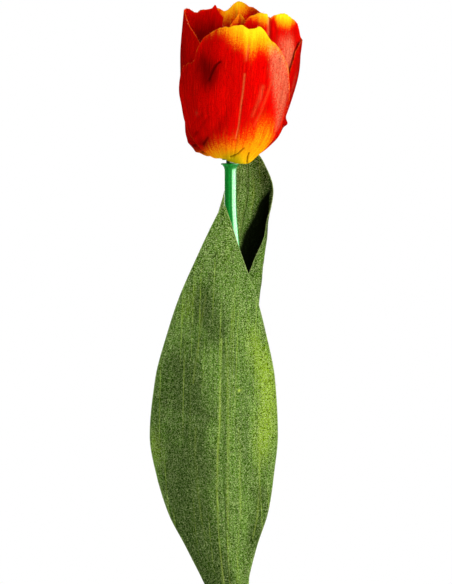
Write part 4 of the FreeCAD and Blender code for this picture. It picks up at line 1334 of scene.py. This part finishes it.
# %% [markdown]
# ## A pale bead
# A small pale bead sits between the rim and the petals, and its white stands for a glint there: a painted
# highlight. It sits on the peg, so it moves with it. A sphere would look like a ball bearing, so it is a
# flattened drop with an uneven skin.

# %% A pale bead
BEAD_R = 0.6 * MM
BEAD_FORM = (1.5, 0.6, 0.9)
BEAD_ASIDE = 0.54 * MM
BEAD_FORWARD = 1.6 * MM
BEAD_LIFT = 0.1 * MM
BEAD_RINGS = 20
BEAD_POINTS = 32


def bead_mesh():
    share = np.linspace(0.03, 0.97, BEAD_RINGS)
    r = BEAD_R * np.sin(math.pi * share) ** 0.8
    rings = lobed(list(zip(r, BEAD_R * (1 - np.cos(math.pi * share)))), BEAD_POINTS, 2, 0.18, 60)
    rings = rings * uneven(BEAD_POINTS, BEAD_RINGS, 5, 4, 0.12, 41) * BEAD_FORM
    return round_mesh("glint_bead", rings + [HEAD_X + BEAD_ASIDE, -BEAD_FORWARD, RIM_Z + BEAD_LIFT])


mesh = bead_mesh()
# The bead's white is a painted highlight.
mesh.materials.append(plastic_finish("glint_white", "E8EADC", "FAFAF2", 0.25, 700, 0.05 * MM, 0.4))
place_piece("glint_bead", mesh, "peg", "peg_plastic")
print("the bead has", len(mesh.polygons), "faces")

# %% [markdown]
# ## Loose threads
# Where cloth is cut it sheds threads. They are too many to place by hand, so a recipe scatters them: it
# takes a line that runs along the cut edges, puts points on it a set distance apart, drops some at random,
# and stands a tiny bent thread on each, turned about the way the cloth runs. The seed keeps them the same
# on every run.

# %% Loose threads
FOOT_ROWS = 40


def edge_line(name, grids):
    """The free edges of grids as one mesh of edges, with the way that the cloth runs at each point."""
    points, ways, edges = [], [], []
    for grid in grids:
        way = np.gradient(grid, axis=1)
        way /= np.linalg.norm(way, axis=-1, keepdims=True)
        for part in (np.s_[:, -1], np.s_[0, FOOT_ROWS:], np.s_[-1, FOOT_ROWS:]):
            edges += [(len(points) + k, len(points) + k + 1) for k in range(len(grid[part]) - 1)]
            points += grid[part].tolist()
            ways += way[part].tolist()
    mesh = bpy.data.meshes.new(name)
    mesh.from_pydata(points, edges, [])
    mesh.attributes.new("way", "FLOAT_VECTOR", "POINT").data.foreach_set("vector", np.ravel(ways))
    return mesh


def thread_recipe(name, material):
    tree, sizes = new_recipe(name, {
        "Spacing": 1.3 * MM, "Share kept": 0.5, "Thread length": 0.9 * MM, "Thread radius": 0.045 * MM,
        "Tilt": 0.8, "Spin": 3.0, "Least size": 0.35, "Seed": 5,
    })
    line = made(tree, "GeometryNodeMeshToCurve", {"Mesh": sizes["Geometry"]})
    inputs = {"Curve": line, "Length": sizes["Spacing"]}
    line = made(tree, "GeometryNodeResampleCurve", inputs, mode="LENGTH")
    long = sizes["Thread length"]
    middle = join_vector(tree, 0.0, 0.0, times(tree, long, 0.6))
    top = join_vector(tree, times(tree, long, 0.3), 0.0, long)
    inputs = {"Resolution": 3, "Start": (0, 0, 0), "Middle": middle, "End": top}
    bend = made(tree, "GeometryNodeCurveQuadraticBezier", inputs)
    inputs = {"Resolution": 5, "Radius": sizes["Thread radius"]}
    ring = made(tree, "GeometryNodeCurvePrimitiveCircle", inputs)
    inputs = {"Curve": bend, "Profile Curve": ring, "Fill Caps": True}
    thread = made(tree, "GeometryNodeCurveToMesh", inputs)
    inputs = {"Probability": sizes["Share kept"], "Seed": sizes["Seed"]}
    kept = add(tree, "FunctionNodeRandomValue", inputs, data_type="BOOLEAN").outputs[3]
    way = made(tree, "GeometryNodeInputNamedAttribute", {"Name": "way"}, data_type="FLOAT_VECTOR")
    along = made(tree, "FunctionNodeAlignRotationToVector", {"Vector": way}, axis="Z")
    most = join_vector(tree, sizes["Tilt"], sizes["Tilt"], sizes["Spin"])
    inputs = {0: stretched(tree, most, (-1, -1, -1)), 1: most, "Seed": sizes["Seed"]}
    tilt = made(tree, "FunctionNodeRandomValue", inputs, data_type="FLOAT_VECTOR")
    inputs = {"Rotation": along, "Rotate By": made(tree, "FunctionNodeEulerToRotation", {"Euler": tilt})}
    turned = made(tree, "FunctionNodeRotateRotation", inputs, rotation_space="LOCAL")
    inputs = {2: sizes["Least size"], 3: 1.0, "Seed": sizes["Seed"]}
    size = add(tree, "FunctionNodeRandomValue", inputs).outputs[1]
    inputs = {"Points": line, "Selection": kept, "Instance": thread, "Rotation": turned, "Scale": size}
    close_recipe(tree, made(tree, "GeometryNodeInstanceOnPoints", inputs), material)
    return tree


PETAL_THREADS = 0.5
LEAF_THREADS = 0.3
petal_thread = plastic_finish("petal_thread", "C81A06", "F08A2A", 0.7, 300, 0.01 * MM)
leaf_thread = plastic_finish("leaf_thread", "6F8C40", "B9CB86", 0.7, 300, 0.01 * MM)
for body, grids in cut_edges.items():
    finish, share, slot = leaf_thread, LEAF_THREADS, "leaf_cloth"
    if body == "flower_head":
        finish, share, slot = petal_thread, PETAL_THREADS, "petal_cloth"
    recipe = thread_recipe(body + " threads", finish)
    mesh = run_recipe(recipe, edge_line(body + "_edges", grids), {"Share kept": share})
    place_piece(body + "_threads", mesh, body, slot)

# %% [markdown]
# ## The pieces that keep their mesh
# The hub, the ring, the peg, the sleeve and the wires have the right shape already, so they only need a
# finish. The stem's wire is drawn steel with a zinc skin, so its scratches run along it. The ribs are
# thinner wire, wound with green paper tape, which shows as a shallow spiral.

# %% The pieces that keep their mesh
TAPE_PITCH = 2.2 * MM
TAPE_SLANT = 2500


def steel_finish():
    material, tree, shader, place = new_finish("wire_zinc", {"Metallic": 1.0, "Roughness": 0.4})
    drawn = speckle(tree, stretched(tree, place, (4000, 4000, 60)), 1.0, 3.0)
    spangle = times(tree, speckle(tree, place, 500, 2.0), 0.3)
    colour = blend(tree, steps(tree, drawn, 0.3, 0.7), ink("9A9C9C"), ink("C6C8C8"))
    colour = blend(tree, spangle, colour, ink("7E8486"))
    end_finish(tree, shader, colour, drawn, 0.02 * MM, maths(tree, "MULTIPLY_ADD", drawn, 0.3, 0.25))
    return material


def rib_finish():
    material, tree, shader, place = new_finish("rib_tape", {"Roughness": 0.7, "Specular IOR Level": 0.3})
    x, _, z = add(tree, "ShaderNodeSeparateXYZ", {"Vector": place}).outputs
    wind = maths(tree, "MULTIPLY_ADD", z, 2 * math.pi / TAPE_PITCH, times(tree, x, TAPE_SLANT))
    turns = maths(tree, "MULTIPLY_ADD", maths(tree, "SINE", wind), 0.5, 0.5)
    fibres = speckle(tree, stretched(tree, place, (900, 900, 300)), 1.0, 4.0, 0.7)
    colour = blend(tree, steps(tree, fibres, 0.3, 0.7), ink("3F6A22"), ink("5F8C38"))
    colour = blend(tree, steps(tree, turns, 0.25, 0.0, 0.5), colour, ink("24400F"))
    end_finish(tree, shader, colour, maths(tree, "MULTIPLY_ADD", fibres, 0.6, turns), 0.08 * MM)
    return material


rib_tape = rib_finish()
kept = {
    "stem_wire": steel_finish(), "head_peg": peg_green, "receptacle": hub_green, "petal_ring": hub_green,
    "leaf_collar": sleeve_green, "leaf_front_rib": rib_tape, "leaf_back_rib": rib_tape,
}
for node, finish in kept.items():
    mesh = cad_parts[node].data
    mesh.materials.clear()
    mesh.materials.append(finish)
    print(node, "is finished in", finish.name)

# %% [markdown]
# ## The stage
# The tulip stands on a plain pale floor under soft light: a broad lamp from the front and right, which
# gives the petals' right side its sheen, weaker ones from the left, above and behind, and a pale surround.
# The surround is whiter to the eye than to the flower, so that the ground stays white while the shadows
# keep their depth. One more lamp, the widest, shows only in glossy surfaces. It puts the broad white
# highlight on the stem without washing out the printed cloth.

# %% The floor
FLOOR_R = 0.85
FLOOR_STEPS = 96
FLOOR_RINGS = ((1, 4 * MM), (1, 1 * MM), (0.999, 0.2 * MM))


def floor_mesh():
    """A thin round board under the tulip, from (share of its radius, depth) pairs."""
    turn = np.linspace(0, 2 * math.pi, FLOOR_STEPS, endpoint=False)
    ring = np.stack([np.sin(turn), -np.cos(turn), np.zeros(FLOOR_STEPS)], -1) * FLOOR_R
    return round_mesh("floor", np.stack([ring * share - [0, 0, depth] for share, depth in FLOOR_RINGS]))


def floor_finish():
    material, tree, shader, place = new_finish("floor_matt", {"Roughness": 0.9, "Specular IOR Level": 0.0})
    grain = speckle(tree, place, 30, 4.0)
    tree.links.new(blend(tree, grain, ink("F2F1EE"), ink("FAF9F7")), shader.inputs["Base Color"])
    return material


mesh = floor_mesh()
mesh.materials.append(floor_finish())
stand("floor", mesh)
print("the floor is", 2 * FLOOR_R, "m across")

# %% Light
# Each lamp's place and size in metres, its watts, its colour, and whether it lights the print and the gloss
LIGHTS = {
    "key": ((0.85, -0.75, 0.5), (0.6, 0.9), 15.0, "FFFAF2", True, True),
    "fill": ((-0.7, -0.9, 0.45), (0.6, 0.9), 3.6, "F4F8FF", True, False),
    "top": ((0.1, 0.25, 1.0), (0.5, 0.5), 2.5, "FFFFFF", True, True),
    "back": ((-0.4, 1.0, 0.45), (0.6, 0.9), 7.0, "FFFCF6", True, True),
    "gloss": ((1.2, -0.35, 0.3), (2.2, 1.2), 290.0, "FFFFFF", False, True),
}
AIM = (HEAD_X, 0.0, 0.27)


def add_light(name, place, size, watts, code, on_print, on_gloss):
    """A softbox aimed at the flower, which lights the colour, the gloss or both."""
    light = bpy.data.lights.new(name, "AREA")
    light.shape = "RECTANGLE"
    light.size, light.size_y = size
    light.energy, light.color = watts, ink(code)[:3]
    lamp = stand(name, light)
    lamp.visible_diffuse, lamp.visible_transmission, lamp.visible_glossy = on_print, on_print, on_gloss
    lamp.location = place
    x, y, z = (a - b for a, b in zip(AIM, place))
    lamp.rotation_euler = (math.atan2(math.hypot(x, y), -z), 0, math.atan2(-x, y))


for name, settings in LIGHTS.items():
    add_light(name, *settings)

SURROUND_LIGHT = 0.22
world = bpy.data.worlds.new("pale surround")
world.use_nodes = True
bpy.context.scene.world = world
tree = world.node_tree
rays = add(tree, "ShaderNodeLightPath").outputs["Is Camera Ray"]
strength = maths(tree, "MULTIPLY_ADD", rays, 1.0 - SURROUND_LIGHT, SURROUND_LIGHT)
tree.links.new(strength, tree.nodes["Background"].inputs["Strength"])
tree.nodes["Background"].inputs["Color"].default_value = ink("FFFFFF")
bpy.context.scene.view_settings.view_transform = "Standard"
print(len(LIGHTS), "lamps are lit")

# %% [markdown]
# ## The camera
# The photograph looks straight at the flower, and its lines stay almost parallel. A very long lens from
# some metres away does the same. Its view is as tall as the photograph's frame is at the flower's scale,
# and the camera is moved, not shifted, to centre it.

# %% The camera
VIEW_HEIGHT = 233.6 * MM
VIEW_CENTRE = (-3.36 * MM, 233.2 * MM)
CAMERA_AWAY = 8.0

camera = bpy.data.cameras.new("camera")
camera.lens = camera.sensor_width * CAMERA_AWAY / VIEW_HEIGHT
camera.clip_start, camera.clip_end = 0.05, 20
eye = stand("camera", camera)
eye.location = (VIEW_CENTRE[0], -CAMERA_AWAY, VIEW_CENTRE[1])
eye.rotation_euler = (math.pi / 2, 0, 0)
bpy.context.scene.camera = eye
print("the lens is", round(camera.lens), "mm long")
